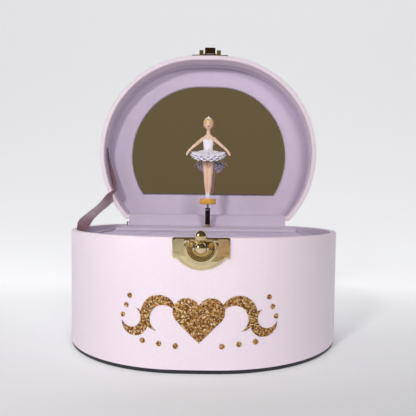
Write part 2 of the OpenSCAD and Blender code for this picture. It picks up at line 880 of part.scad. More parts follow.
module figure_body() {
  color("bisque") translate([post_x, post_y, 0]) {
    for (side = [-1, 1]) {
      limb([side * 0.7, -0.4 * side, feet_z], [side * 1.5, 0, hip_z], 1.3, 1.9);
      limb([side * 3, 0, neck_z - 1.5], [side * hand_x, 0, hand_z], 1.2, 0.8);
      translate([side * hand_x, 0, hand_z]) sphere(r = 1);
    }
    translate([0, 0, hip_z - 1]) cylinder(h = neck_z - hip_z + 1, r = torso_r);
    translate([0, 0, neck_z]) cylinder(h = head_z - neck_z, r = 1.4);
    translate([0, 0, head_z]) sphere(r = figure_r - 0.7);
  }
}

module figure_bodice() {
  z0 = hip_z + 4.2;
  color("white") translate([post_x, post_y, z0]) difference() {
    cylinder(h = neck_z - z0 - 4, r1 = torso_r + 0.35, r2 = torso_r + 0.6);
    translate([0, 0, -1]) cylinder(h = figure_h, r = torso_r);
  }
}

module figure_skirt() {
  color("lavender") translate([post_x, post_y, hip_z]) difference() {
    cylinder(h = 4, r1 = skirt_r - 1.5, r2 = skirt_r);
    translate([0, 0, -1]) cylinder(h = 6, r = torso_r + 0.5);
  }
}

module figure_hair() {
  color("khaki") translate([post_x, post_y, head_z]) difference() {
    union() {
      sphere(r = figure_r);
      translate([0, 2.6, 3.2]) sphere(r = 2);
    }
    sphere(r = figure_r - 0.68);
    translate([-10, -10.4, -10]) cube([20, 9, 12]);
    translate([-10, -10, -13]) cube([20, 20, 10]);
  }
}

module figure_tiara() {
  color("white") translate([post_x, post_y, head_z + 2.3]) difference() {
    cylinder(h = 2, r = figure_r - 0.2);
    translate([0, 0, -1]) cylinder(h = 4, r = figure_r - 1.1);
    translate([-5, -0.5, -1]) cube([10, 10, 5]);
    translate([0, 0, -2.3]) sphere(r = figure_r + 0.05);
  }
}

base_board();
case_floor();
case_shell();
case_cover();
case_lining();
well_dividers();
tray_board();
deck();
ring_roll(roll_n - 1);  // ring_roll_front
ring_roll(1);  // ring_roll_middle
ring_roll(0);  // ring_roll_back
deck_bush();
glitter_motif();
lock_plate();
lock_boss();
lock_pin();
lock_spring();
case_nails();
latch_ball();
hinge_leaves_case();
hinge_pins();
hinge_strip();
ribbon_stay();
lid_shell();
lid_cover();
lid_lining();
lid_panel();
mirror_glass();  // mirror
hinge_leaves_lid();
lid_nails();
hasp_plate();
hasp_pin();
hasp_tongue();
movement_frame();
movement_screws();
comb();
comb_screws();
spring_barrel();
mainspring();
key_bush();
winding_key();
winding_arbor();
main_wheel();
pinned_cylinder();
cylinder_arbor();
governor_wheel();
air_brake();
stop_wire();
wire_guide();
turntable_spindle();
post_spring();
post_ferrule();
figure_stem();
stand_disc();
figure_body();
figure_bodice();
figure_skirt();
figure_hair();
figure_tiara();
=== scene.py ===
"""Wind-up music box: a D-shaped covered case with a mirrored lid and a turning figure.

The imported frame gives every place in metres. The pieces here are drawn in millimetres and
scaled once, when each is finished.
"""
from math import asin, atan2, cos, pi, radians, sin, sqrt

import bmesh
import bpy
from mathutils import Euler, Matrix, Vector, noise


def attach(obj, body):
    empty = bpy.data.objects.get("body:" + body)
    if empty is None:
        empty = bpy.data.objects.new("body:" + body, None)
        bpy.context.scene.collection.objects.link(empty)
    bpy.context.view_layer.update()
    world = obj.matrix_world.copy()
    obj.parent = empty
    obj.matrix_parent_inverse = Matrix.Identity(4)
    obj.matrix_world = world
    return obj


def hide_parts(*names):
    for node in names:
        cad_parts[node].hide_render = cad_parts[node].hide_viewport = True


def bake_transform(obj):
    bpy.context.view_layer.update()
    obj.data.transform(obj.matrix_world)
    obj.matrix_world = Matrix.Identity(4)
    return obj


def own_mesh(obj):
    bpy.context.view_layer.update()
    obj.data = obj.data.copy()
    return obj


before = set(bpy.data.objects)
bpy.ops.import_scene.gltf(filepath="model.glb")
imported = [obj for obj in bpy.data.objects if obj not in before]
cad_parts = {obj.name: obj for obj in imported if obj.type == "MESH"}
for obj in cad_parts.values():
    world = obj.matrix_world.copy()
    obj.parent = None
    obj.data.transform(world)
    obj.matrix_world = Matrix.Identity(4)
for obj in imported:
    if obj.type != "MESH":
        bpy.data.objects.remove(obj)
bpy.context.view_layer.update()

scene = bpy.context.scene

# ---- Camera ----
# It stands in front of the box, a little above its rim, and looks slightly down.
# The small shift keeps the box in the middle of the square frame.
lens_data = bpy.data.cameras.new("camera")
lens_data.sensor_width = 36
lens_data.lens = 38.64
lens_data.shift_x = -0.0307
lens_data.shift_y = 0.0385
lens_data.clip_start = 0.01
camera = bpy.data.objects.new("camera", lens_data)
camera.matrix_world = (
    Matrix.Translation((0.00944, -0.27984, 0.08127))
    @ Euler((radians(87.272), 0, radians(-0.085))).to_matrix().to_4x4()
    @ Matrix.Rotation(radians(0.718), 4, "Z")
)
scene.collection.objects.link(camera)
scene.camera = camera

# ---- Studio ----
# A pale table that runs up into the wall, a small key lamp close to the camera and two
# softer lamps left and right of it. The table and wall glow as painted fill light, faintly in
# front and strongly at the back. The mirror and the brass reflect a brown card and mat,
# which glow as painted light.
scene.view_settings.view_transform = "Standard"


def plain_finish(name, colour, rough, glow=0.0):
    mat = bpy.data.materials.new(name)
    mat.use_nodes = True
    shader = mat.node_tree.nodes["Principled BSDF"]
    shader.inputs["Base Color"].default_value = (*colour, 1)
    shader.inputs["Roughness"].default_value = rough
    shader.inputs["Emission Color"].default_value = (*colour, 1)
    shader.inputs["Emission Strength"].default_value = glow
    return mat


def studio_card(name, corners, finish):
    bm = bmesh.new()
    bm.faces.new([bm.verts.new(c) for c in corners])
    mesh = bpy.data.meshes.new(name)
    bm.to_mesh(mesh)
    bm.free()
    mesh.materials.append(finish)
    card = bpy.data.objects.new(name, mesh)
    scene.collection.objects.link(card)


# painted fill light: the table and wall glow, weakly in front and strongly towards the back
glowing_sweep = plain_finish("glowing_sweep", (0.79, 0.80, 0.82), 0.8, 0.5)
nodes, links = glowing_sweep.node_tree.nodes, glowing_sweep.node_tree.links
where = nodes.new("ShaderNodeTexCoord")
split = nodes.new("ShaderNodeSeparateXYZ")
glow = nodes.new("ShaderNodeMapRange")
links.new(where.outputs["Object"], split.inputs["Vector"])
links.new(split.outputs["Y"], glow.inputs["Value"])
links.new(glow.outputs["Result"], nodes["Principled BSDF"].inputs["Emission Strength"])
glow.inputs["From Min"].default_value = -0.12
glow.inputs["From Max"].default_value = 0.16
glow.inputs["To Min"].default_value = 0.04
glow.inputs["To Max"].default_value = 0.72
# painted light: the brown card behind the camera and the mat in front glow, so that the mirror and the brass
# show a brown reflection
glowing_brown_card = plain_finish("glowing_brown_card", (0.095, 0.068, 0.032), 0.9, 1.0)
glowing_brown_mat = plain_finish("glowing_brown_mat", (0.34, 0.21, 0.12), 0.9, 0.7)

# the table runs back and curves up into the wall without an edge
bm = bmesh.new()
end = bm.verts.new((-4, -2.5, 0))
path = [end]
for y in (-0.3, 0.5):
    path.append(bm.verts.new((-4, y, 0)))
edges = [bm.edges.new(pair) for pair in zip(path, path[1:])]
made = bmesh.ops.spin(
    bm, geom=[path[-1]], cent=(-4, 0.5, 1.4), axis=(1, 0, 0), dvec=(0, 0, 0), angle=radians(90), steps=24
)
top = made["geom_last"][0]
bm.edges.new((top, bm.verts.new((-4, 1.9, 4))))
made = bmesh.ops.extrude_edge_only(bm, edges=bm.edges[:])
bmesh.ops.translate(bm, verts=[g for g in made["geom"] if isinstance(g, bmesh.types.BMVert)], vec=(8, 0, 0))
for face in bm.faces:
    face.smooth = True
sweep_mesh = bpy.data.meshes.new("sweep")
bm.to_mesh(sweep_mesh)
bm.free()
sweep_mesh.materials.append(glowing_sweep)
sweep = bpy.data.objects.new("sweep", sweep_mesh)
scene.collection.objects.link(sweep)
studio_card("card", [(-0.9, -1.6, 0.1), (0.9, -1.6, 0.1), (0.9, -1.6, 1.5), (-0.9, -1.6, 1.5)], glowing_brown_card)
mat_corners = [(-0.006, -0.36, 0.001), (0.5, -0.36, 0.001), (0.5, -0.95, 0.001), (0.012, -0.95, 0.001)]
studio_card("mat", mat_corners, glowing_brown_mat)


def soft_lamp(name, place, size, power, tint=(1, 1, 1), mirrored=True):
    data = bpy.data.lights.new(name, "AREA")
    data.size = size
    data.energy = power
    data.color = tint
    lamp = bpy.data.objects.new(name, data)
    lamp.location = place
    lamp.rotation_euler = (Vector((0, 0, 0.08)) - Vector(place)).to_track_quat("-Z", "Y").to_euler()
    lamp.visible_glossy = mirrored
    scene.collection.objects.link(lamp)


soft_lamp("key_lamp", (-0.143, -0.36, 0.27), 0.05, 0.8, (1, 0.985, 0.975), mirrored=False)
soft_lamp("side_lamp", (-0.66, -0.52, 0.36), 0.45, 1.5)
soft_lamp("fill_lamp", (0.35, -0.9, 0.3), 0.3, 3.5, mirrored=False)
world = bpy.data.worlds.new("studio")
world.use_nodes = True
world.node_tree.nodes["Background"].inputs["Color"].default_value = (0.52, 0.44, 0.44, 1)
world.node_tree.nodes["Background"].inputs["Strength"].default_value = 0.15
scene.world = world

# ---- Black base board ----
# Thick card covered in black paper, cut to the box's D plan and glued under the case.
# It stands a hair inside the covering, and its lower edge is softened by handling.
side_r = 72.3
side_cx = 7.7
front_r = 400.0
front_cy = sqrt((front_r - side_r) ** 2 - side_cx**2)
front_a = atan2(-front_cy, side_cx)
back_y = 49.2
front_y = front_cy - front_r
base_h = 65.0


def d_ring(bm, inset, z):
    """A closed ring of edges on the case's plan, drawn inset from the outer face."""
    before = set(bm.edges)
    r = side_r - inset
    back = back_y - inset
    corner = asin(back / r)
    first = bm.verts.new((side_cx + r * cos(corner), back, z))
    end = first
    arcs = (
        (side_cx, 0.0, front_a - corner, 44),
        (0.0, front_cy, -pi - 2 * front_a, 8),
        (-side_cx, 0.0, front_a - corner, 44),
    )
    for cx, cy, turn, steps in arcs:
        made = bmesh.ops.spin(
            bm, geom=[end], cent=(cx, cy, z), axis=(0, 0, 1), dvec=(0, 0, 0), angle=turn, steps=steps
        )
        end = made["geom_last"][0]
    bm.edges.new((end, first))
    return [e for e in bm.edges if e not in before]


def join_rings(bm, rings, capped=False):
    """Skins the gap between each ring of edges and the next, and closes both ends if asked."""
    for one, two in zip(rings, rings[1:]):
        bmesh.ops.bridge_loops(bm, edges=one + two)
    for ring in (rings[0], rings[-1]) if capped else ():
        bmesh.ops.edgeloop_fill(bm, edges=ring)


def d_sweep(bm, profile, closed=False):
    """Rings on the D plan at each (inset, height), joined into a tube or closed at both ends."""
    rings = [d_ring(bm, t, z) for t, z in profile]
    join_rings(bm, rings + (rings[:1] if closed else []), capped=not closed)


def finished(name, bm, finish, body, stands_for=(), place=None, crease=32):
    """Write the mesh in metres, set its sharp edges, and fix the piece to its body."""
    bmesh.ops.remove_doubles(bm, verts=bm.verts, dist=0.0005)
    bmesh.ops.recalc_face_normals(bm, faces=bm.faces)
    if place:
        bmesh.ops.transform(bm, matrix=place, verts=bm.verts)
    bmesh.ops.scale(bm, vec=(0.001, 0.001, 0.001), verts=bm.verts)
    for edge in bm.edges:
        edge.smooth = edge.calc_face_angle(0) < radians(crease)
    for face in bm.faces:
        face.smooth = True
    mesh = bpy.data.meshes.new(name)
    bm.to_mesh(mesh)
    bm.free()
    for one in finish if isinstance(finish, (list, tuple)) else [finish]:
        mesh.materials.append(one)
    made = bpy.data.objects.new(name, mesh)
    scene.collection.objects.link(made)
    if body:
        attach(made, body)
    if stands_for:
        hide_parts(*stands_for)
    return made


class Finish:
    """A procedural finish on object coordinates: noise layers drive colour, gloss and relief."""

    def __init__(self, name, rough, metallic=0.0, **sockets):
        self.mat = bpy.data.materials.new(name)
        self.mat.use_nodes = True
        self.tree = self.mat.node_tree
        self.shader = self.tree.nodes["Principled BSDF"]
        self.shader.inputs["Metallic"].default_value = metallic
        self.shader.inputs["Roughness"].default_value = rough
        for socket, value in sockets.items():
            self.shader.inputs[socket.replace("_", " ")].default_value = value
        self.coords = self.tree.nodes.new("ShaderNodeTexCoord").outputs["Object"]
        self.normal = None

    def node(self, kind, inputs=(), **settings):
        made = self.tree.nodes.new("ShaderNode" + kind)
        for key, value in settings.items():
            setattr(made, key, value)
        for key, value in dict(inputs).items():
            if hasattr(value, "is_linked") or hasattr(value, "links"):
                self.tree.links.new(value, made.inputs[key])
            else:
                made.inputs[key].default_value = value
        return made

    def noise(self, scale, detail=3.0, rough=0.5, coords=None):
        inputs = {"Vector": coords or self.coords, "Scale": scale, "Detail": detail, "Roughness": rough}
        return self.node("TexNoise", inputs).outputs["Fac"]

    def cells(self, scale, out="Distance", feature="F1", coords=None):
        made = self.node("TexVoronoi", {"Vector": coords or self.coords, "Scale": scale}, feature=feature)
        return made.outputs[out]

    def range(self, value, low, high, to_low, to_high):
        inputs = {"Value": value, "From Min": low, "From Max": high, "To Min": to_low, "To Max": to_high}
        return self.node("MapRange", inputs).outputs["Result"]

    def blend(self, share, one, two):
        made = self.node("Mix", data_type="RGBA")
        for socket, value in zip((made.inputs[0], made.inputs[6], made.inputs[7]), (share, one, two)):
            if hasattr(value, "links"):
                self.tree.links.new(value, socket)
            else:
                socket.default_value = (*value, 1) if isinstance(value, tuple) else value
        return made.outputs[2]

    def colour(self, value):
        self.tree.links.new(value, self.shader.inputs["Base Color"])

    def gloss(self, value, low, high):
        self.tree.links.new(self.range(value, 0.3, 0.7, low, high), self.shader.inputs["Roughness"])

    def relief(self, height, depth, strength=1.0):
        made = self.node("Bump", {"Height": height, "Distance": depth, "Strength": strength})
        if self.normal:
            self.tree.links.new(self.normal, made.inputs["Normal"])
        self.normal = made.outputs["Normal"]
        self.tree.links.new(self.normal, self.shader.inputs["Normal"])


def worn_paper(name, dark, light, rough, fibre_scale):
    """Board or covering paper: soft blotches, short fibres and a slight tooth."""
    made = Finish(name, rough)
    blotch = made.noise(60, 4)
    fibre = made.noise(fibre_scale, 5, 0.7)
    made.colour(made.blend(made.range(fibre, 0.3, 0.7, 0, 1), dark, light))
    made.gloss(blotch, rough - 0.08, rough + 0.08)
    made.relief(fibre, 0.00006, 0.5)
    return made.mat


black_paper = worn_paper("black_paper", (0.008, 0.008, 0.012), (0.022, 0.022, 0.03), 0.45, 2600)
bm = bmesh.new()
d_sweep(bm, [(0.7, 0.0), (0.4, 0.15), (0.3, 0.45), (0.3, 2.0)])
finished("base_board_covered", bm, black_paper, "case", ["base_board"])

# ---- Case floor and walls ----
# Grey-brown bookbinding board, scored and bent round the D plan. Almost all of it is hidden
# under the covering and the lining, so the frame's own solids stay.
grey_board = worn_paper("grey_board", (0.30, 0.25, 0.19), (0.48, 0.41, 0.32), 0.85, 1500)


def refinish(finish, slot_names):
    for node_name in slot_names:
        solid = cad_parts[node_name]
        if not solid.material_slots:
            solid.data.materials.append(finish)
        for material_slot in solid.material_slots:
            material_slot.material = finish


refinish(grey_board, ["case_floor", "case_shell", "tray_board", "lid_shell"])

# ---- Case covering ----
# Pale pink leatherette glued round the board from the foot up, turned over the rim and
# trimmed at the lining. Its rim is softly rounded by the fold.


def leatherette_finish(name, colour, shade):
    """Fine pebble grain about a third of a millimetre across, satin, with faint handling marks."""
    made = Finish(name, 0.42, Coat_Weight=0.08, Coat_Roughness=0.35, Sheen_Weight=0.12, Sheen_Roughness=0.4)
    grain = made.cells(2600, "Distance", "SMOOTH_F1")
    creases = made.noise(900, 4, 0.65)
    blotch = made.noise(28, 3)
    tone = made.blend(made.range(grain, 0.25, 0.75, 0, 1), shade, colour)
    made.colour(made.blend(made.range(blotch, 0.35, 0.7, 0.0, 0.35), tone, shade))
    made.gloss(blotch, 0.36, 0.5)
    made.relief(creases, 0.00005, 0.35)
    made.relief(grain, 0.00006, 0.6)
    return made.mat


pink_leatherette = leatherette_finish("pink_leatherette", (0.81, 0.72, 0.80), (0.75, 0.65, 0.735))
wire_x = -57.5


def cut_with(target, cutter_bm):
    """Cut a shape out of a finished piece and keep the result as its mesh."""
    bmesh.ops.recalc_face_normals(cutter_bm, faces=cutter_bm.faces)
    bmesh.ops.scale(cutter_bm, vec=(0.001, 0.001, 0.001), verts=cutter_bm.verts)
    mesh = bpy.data.meshes.new("cutter")
    cutter_bm.to_mesh(mesh)
    cutter_bm.free()
    cutter = bpy.data.objects.new("cutter", mesh)
    scene.collection.objects.link(cutter)
    step = target.modifiers.new("cut", "BOOLEAN")
    step.operation = "DIFFERENCE"
    step.object = cutter
    step.solver = "EXACT"
    bpy.context.view_layer.update()
    result = bpy.data.meshes.new_from_object(target.evaluated_get(bpy.context.evaluated_depsgraph_get()))
    target.modifiers.clear()
    target.data = result
    bpy.data.objects.remove(cutter)


def box_bm(bm, low, high):
    """A box between two corners; returns its new corners."""
    size = [b - a for a, b in zip(low, high)]
    middle = [(a + b) / 2 for a, b in zip(low, high)]
    made = bmesh.ops.create_cube(bm, size=1, matrix=Matrix.Translation(middle) @ Matrix.Diagonal((*size, 1)))
    return made["verts"]


bm = bmesh.new()
d_sweep(
    bm,
    [(0.0, 2.0), (0.0, 20), (0.0, 40), (0.0, 64.0), (0.12, 64.55), (0.4, 64.87), (0.8, 65.0), (2.6, 65.0),
     (3.0, 64.88), (3.3, 64.5), (3.3, 64.4), (0.6, 64.4), (0.6, 2.0)],
    closed=True,
)
case_cover = finished("case_covering", bm, pink_leatherette, "case", ["case_cover"])
bm = bmesh.new()
box_bm(bm, (wire_x - 1, back_y - 4, 63.5), (wire_x + 1, back_y + 1, 66))
cut_with(case_cover, bm)

# ---- Case lining ----
# Lilac flocked paper on the inside of the walls and on the floor of the two side wells.
# It is matt, with a short nap that catches the light at the edges.


def flocked_finish(name, colour, shade, nap=0.35):
    made = Finish(name, 0.9, Sheen_Weight=nap, Sheen_Roughness=0.55, Sheen_Tint=(0.95, 0.88, 1.0, 1))
    nap_noise = made.noise(5200, 3, 0.7)
    brushed = made.noise(110, 4, 0.6)
    tone = made.blend(made.range(nap_noise, 0.3, 0.7, 0, 1), shade, colour)
    made.colour(made.blend(made.range(brushed, 0.35, 0.7, 0, 0.4), tone, shade))
    made.relief(nap_noise, 0.00007, 0.6)
    made.relief(brushed, 0.00008, 0.3)
    return made.mat


lilac_flock = flocked_finish("lilac_flock", (0.64, 0.56, 0.69), (0.52, 0.44, 0.58))
bm = bmesh.new()
d_sweep(
    bm,
    [(2.8, 4.42), (2.8, 64.38), (3.3, 64.38), (3.3, 5.2), (3.5, 4.85), (3.9, 4.72), (8, 4.7)],
)
finished("case_lining_paper", bm, lilac_flock, "case", ["case_lining"])

# ---- Well dividers ----
# Two upright boards wrapped in the same lilac paper, folded over the top edge. They part
# the tray from the wells where necklaces and other small things lie.
divider_x = (59.8, 61.0)
divider_y = 44.2
deck_z = 64.0


def soften(bm, edges, width, segments=2):
    """Rounds some edges over."""
    bmesh.ops.bevel(
        bm, geom=edges, offset=width, segments=segments, profile=0.5, affect="EDGES", material=-1,
        clamp_overlap=True,
    )


def edges_of(verts, test=lambda v: True):
    """The edges at some corners, where both ends pass the test."""
    return list({e for v in verts for e in v.link_edges if all(test(w) for w in e.verts)})


bm = bmesh.new()
for side in (-1, 1):
    low_x, high_x = sorted((side * divider_x[0], side * divider_x[1]))
    box_bm(bm, (low_x, -divider_y, 4.7), (high_x, divider_y, deck_z))
soften(bm, [e for e in bm.edges if all(v.co.z > 60 for v in e.verts)], 0.5, 3)
bmesh.ops.subdivide_edges(bm, edges=[e for e in bm.edges if e.calc_length() > 30], cuts=5, use_grid_fill=True)
finished("well_divider_boards", bm, lilac_flock, "case", ["well_dividers"])

# ---- Deck ----
# A lined board over the movement, level with the dividers, with a turned-down front edge
# and a narrow ledge at the front of the tray.
deck_x = 59.7
ledge_y = -53.4
post_x, post_y = 0.5, 36.0
bm = bmesh.new()
box_bm(bm, (-deck_x, 16.0, 62.2), (deck_x, 45.7, deck_z))
soften(bm, [e for e in bm.edges if all(v.co.z > 63 and v.co.y < 17 for v in e.verts)], 0.9, 4)
upright = [e for e in bm.edges if abs(e.verts[0].co.z - e.verts[1].co.z) > 1]
upright = [e for e in upright if e.verts[0].co.x == e.verts[1].co.x]
soften(bm, [e for e in upright if all(v.co.y > 45 for v in e.verts)], 1.1, 3)
box_bm(bm, (-deck_x, 16.05, 48.0), (deck_x, 17.2, 62.2))
deck = finished("deck_lined", bm, lilac_flock, "case", ["deck"])
for hole_x, hole_y, hole_r, segments in ((post_x, post_y, 2.25, 48), (wire_x, 43, 0.8, 24)):
    bm = bmesh.new()
    bmesh.ops.create_cone(
        bm, cap_ends=True, segments=segments, radius1=hole_r, radius2=hole_r, depth=6,
        matrix=Matrix.Translation((hole_x, hole_y, 63)),
    )
    cut_with(deck, bm)


def trimmed(bm, point, outwards):
    """Cuts off what lies beyond a plane and closes the cut."""
    everything = bm.verts[:] + bm.edges[:] + bm.faces[:]
    bmesh.ops.bisect_plane(bm, geom=everything, plane_co=point, plane_no=outwards, clear_outer=True)
    bmesh.ops.holes_fill(bm, edges=[e for e in bm.edges if e.is_boundary], sides=0)


# ledge along the curved front, cut from the same plan
bm = bmesh.new()
d_sweep(bm, [(3.42, 50.0), (3.42, 63.4), (3.6, 63.85), (4.0, 64.0)])
trimmed(bm, (0, ledge_y, 0), (0, 1, 0))
trimmed(bm, (deck_x, 0, 0), (1, 0, 0))
trimmed(bm, (-deck_x, 0, 0), (-1, 0, 0))
finished("front_ledge", bm, lilac_flock, "case")

# ---- Ring rolls ----
# Three foam bars wrapped in lilac velvet lie side by side in the tray, and rings are pushed
# into the slits between them. Their tops are round, and the velvet puckers at the ends.
roll_r = 10.7
roll_half = 59.6
roll_z = 53.0
roll_wall_r = 68.4


def velvet_finish(name, colour, shade):
    made = Finish(name, 0.85, Sheen_Weight=0.9, Sheen_Roughness=0.35, Sheen_Tint=(0.93, 0.86, 1.0, 1))
    pile = made.noise(4200, 4, 0.75)
    crush = made.noise(85, 5, 0.65)
    made.colour(made.blend(made.range(crush, 0.3, 0.7, 0, 1), shade, colour))
    made.relief(pile, 0.0001, 0.6)
    made.relief(crush, 0.00018, 0.4)
    return made.mat


lilac_velvet = velvet_finish("lilac_velvet", (0.60, 0.52, 0.67), (0.45, 0.37, 0.53))
for roll_name, roll_y in (("ring_roll_back", 4.5), ("ring_roll_middle", -18.5), ("ring_roll_front", -41.5)):
    bm = bmesh.new()
    rings = []
    stations = 61
    for i in range(stations):
        run = -1 + 2 * i / (stations - 1)
        x = roll_half * run
        pinch = 1 - 0.16 * max(0, (abs(run) - 0.95) / 0.05) ** 2
        made = bmesh.ops.create_circle(bm, segments=40, radius=roll_r)
        for v in made["verts"]:
            angle = atan2(v.co.y, v.co.x)
            r = roll_r * pinch
            y, z = r * cos(angle), r * sin(angle)
            if z < 0:
                # squared off below, where the roll is glued to the tray
                y = r * (1 if cos(angle) > 0 else -1) * min(1, abs(cos(angle)) * 1.6) ** 0.5
                z *= 0.26
            ripple = 0.25 * noise.noise(Vector((x * 0.09, y * 0.12 + roll_y, z * 0.12)))
            pucker = 0.35 * max(0, (abs(run) - 0.9) / 0.1) * sin(angle * 11 + roll_y)
            scale = 1 + (ripple + pucker - 0.3) / roll_r
            y = roll_y + y * scale
            # the curved wall of the case presses in the outer face of the front roll
            if abs(x) > side_cx:
                y = max(y, -sqrt(roll_wall_r**2 - (abs(x) - side_cx) ** 2))
            v.co = Vector((x, y, roll_z + z * scale))
        rings.append(edges_of(made["verts"]))
    join_rings(bm, rings, capped=True)
    roll = finished(roll_name + "_velvet", bm, lilac_velvet, "case", [roll_name], crease=50)

# ---- Deck bush ----
# A thin turned brass eyelet pressed into the deck, which the spindle runs in.


def metal_finish(name, colour, tarnish, rough, scratch=0.5, aniso=0.0):
    """Polished or plated metal: fine rubbing marks, fingerprints in the gloss, dull low spots."""
    made = Finish(name, rough, 1.0, Anisotropic=aniso)
    smear = made.noise(140, 4, 0.6)
    fine = made.noise(900, 6, 0.75)
    made.colour(made.blend(made.range(smear, 0.38, 0.72, 0, 0.55), colour, tarnish))
    made.gloss(fine, max(rough - 0.05, 0.04), rough + 0.07)
    stretch = made.node("Mapping", {"Vector": made.coords, "Scale": (1.0, 1.0, 9.0)}).outputs["Vector"]
    made.relief(made.noise(1500, 3, 0.8, stretch), 0.000012, scratch)
    return made.mat


pale_brass = metal_finish("pale_brass", (0.83, 0.70, 0.42), (0.62, 0.46, 0.22), 0.13)
cut_brass = metal_finish("cut_brass", (0.72, 0.54, 0.24), (0.5, 0.35, 0.14), 0.28, 0.8)
bright_steel = metal_finish("bright_steel", (0.66, 0.66, 0.68), (0.45, 0.45, 0.46), 0.22)
# painted reflection: this steel is coloured near black, standing in for the dark surroundings that the post's
# coil and ferrule reflect
dark_steel = metal_finish("dark_steel", (0.07, 0.06, 0.055), (0.03, 0.025, 0.025), 0.16)
cast_zinc = metal_finish("cast_zinc", (0.55, 0.55, 0.55), (0.40, 0.40, 0.41), 0.45, 0.9)
refinish(pale_brass, ["deck_bush", "key_bush", "case_nails", "lid_nails"])
refinish(bright_steel, ["lock_pin", "lock_spring", "hinge_pins", "hasp_pin", "figure_stem"])

# ---- Glitter motif ----
# Heart, curls and dots cut from glitter film and ironed onto the bowed front. Each flake
# gets its own copper to gold hue, and a painted brightness from dark brown to near white
# that stands in for the flash of some flakes and the shade of others.
glitter = Finish("glitter_film", 0.3, 0.85)
flake = glitter.node("TexVoronoi", {"Vector": glitter.coords, "Scale": 1500.0})
flake_tone = glitter.node("SeparateColor", {"Color": flake.outputs["Color"]})
ramp = glitter.node("ValToRGB", {"Fac": flake_tone.outputs["Red"]})
# the film's copper and gold hues, with painted flash in the pale stops and painted shade in the dark ones
flake_hues_and_painted_flash = (
    (0.0, (0.13, 0.05, 0.015)), (0.35, (0.36, 0.16, 0.045)), (0.65, (0.62, 0.33, 0.10)),
    (0.86, (0.85, 0.55, 0.24)), (1.0, (1.0, 0.86, 0.62)),
)
while len(ramp.color_ramp.elements) < len(flake_hues_and_painted_flash):
    ramp.color_ramp.elements.new(1.0)
for stop, (place, colour) in zip(ramp.color_ramp.elements, flake_hues_and_painted_flash):
    stop.position = place
    stop.color = (*colour, 1)
glitter.colour(ramp.outputs["Color"])
glitter.gloss(flake_tone.outputs["Green"], 0.15, 0.5)
glitter.relief(flake_tone.outputs["Blue"], 0.0003, 0.9)
refinish(glitter.mat, ["glitter_motif"])

# ---- Lock plate ----
# Stamped and plated brass with a rolled edge, an ear at each side for a nail and a round
# lobe below. It is nailed to the front, flush with the rim.
lock_x = 0.8
plate_half = 13.5
lobe_z, lobe_r = 64.3, 14.6
ear_z = 55.2
hub_z = 60.7
face_y = front_y - 0.6


def along(axis_to, place=(0, 0, 0)):
    """Turns a shape drawn along Z to point along another axis, then moves it."""
    turn = Vector((0, 0, 1)).rotation_difference(Vector(axis_to)).to_matrix().to_4x4()
    return Matrix.Translation(place) @ turn


def plate_outline(bm, y, shrink):
    """Ears with cut corners above a round lobe, as one flat face in the plane y."""
    half, top, low = plate_half - shrink, base_h - shrink, ear_z + shrink
    reach = sqrt((lobe_r - shrink) ** 2 - (lobe_z - low) ** 2)
    start = bm.verts.new((lock_x + reach, y, low))
    turn = 2 * asin(reach / (lobe_r - shrink))
    steps = 26
    bmesh.ops.spin(
        bm, geom=[start], cent=(lock_x, y, lobe_z), axis=(0, 1, 0), dvec=(0, 0, 0), angle=turn, steps=steps
    )
    ring = [start]
    while len(ring) <= steps:
        last = ring[-1]
        ring.append(next(e.other_vert(last) for e in last.link_edges if e.other_vert(last) not in ring))
    # each corner of the ears, with the way back from it and the way on
    corners = (
        (-half, low, (1, 0), (0, 1)), (-half, top, (0, -1), (1, 0)),
        (half, top, (-1, 0), (0, -1)), (half, low, (0, 1), (-1, 0)),
    )
    bend = 0.8
    for x, z, back, onward in corners:
        for back_share, on_share in ((1, 0), (0.3, 0.3), (0, 1)):
            side_step, rise = (bend * (b * back_share + o * on_share) for b, o in zip(back, onward))
            ring.append(bm.verts.new((lock_x + x + side_step, y, z + rise)))
    return ring


bm = bmesh.new()
levels = [
    (front_y, 0.0), (face_y + 0.25, 0.0), (face_y + 0.08, 0.12), (face_y, 0.35), (face_y, 0.9),
    (face_y + 0.12, 1.05),
]
rings = [plate_outline(bm, y, shrink) for y, shrink in levels]
for one, two in zip(rings, rings[1:]):
    for k in range(len(one)):
        bm.faces.new((one[k - 1], one[k], two[k], two[k - 1]))
caps = [bm.faces.new(rings[0]), bm.faces.new(rings[-1])]
bmesh.ops.triangulate(bm, faces=caps)
finished("lock_plate_brass", bm, pale_brass, "case", ["lock_plate"], crease=25)

# ---- Lock boss ----
# A raised U-shaped ring round a stepped dish, with two cheeks that carry the latch's pin.
# It is pressed in one with the plate in thin brass and polished.
profile = [
    (8.15, 0.0), (8.2, 0.7), (8.05, 1.25), (7.6, 1.6), (6.9, 1.72), (6.2, 1.6), (5.75, 1.25), (5.5, 0.7),
    (5.1, 0.55), (4.5, 0.5), (4.1, 0.32), (3.2, 0.22), (0.0, 0.2), (0.0, 0.0), (8.15, 0.0),
]


def placed(bm, part, matrix):
    """Adds a shape that was drawn at the origin to a piece, in its place."""
    bmesh.ops.remove_doubles(part, verts=part.verts, dist=0.0005)
    bmesh.ops.transform(part, matrix=matrix, verts=part.verts)
    mesh = bpy.data.meshes.new("part")
    part.to_mesh(mesh)
    part.free()
    bm.from_mesh(mesh)
    bpy.data.meshes.remove(mesh)


def turned(bm, points, matrix, steps=64):
    """A shape turned on a lathe from (radius, height) points, then put in its place."""
    part = bmesh.new()
    verts = [part.verts.new((r, 0, h)) for r, h in points]
    edges = [part.edges.new(pair) for pair in zip(verts, verts[1:])]
    bmesh.ops.spin(
        part, geom=verts + edges, cent=(0, 0, 0), axis=(0, 0, 1), dvec=(0, 0, 0), angle=2 * pi, steps=steps,
        use_merge=True,
    )
    placed(bm, part, matrix)


pin_y = front_y - 5.6
slot_z = 63.1
bm = bmesh.new()
turned(bm, profile, along((0, -1, 0), (lock_x, face_y + 0.05, hub_z)))
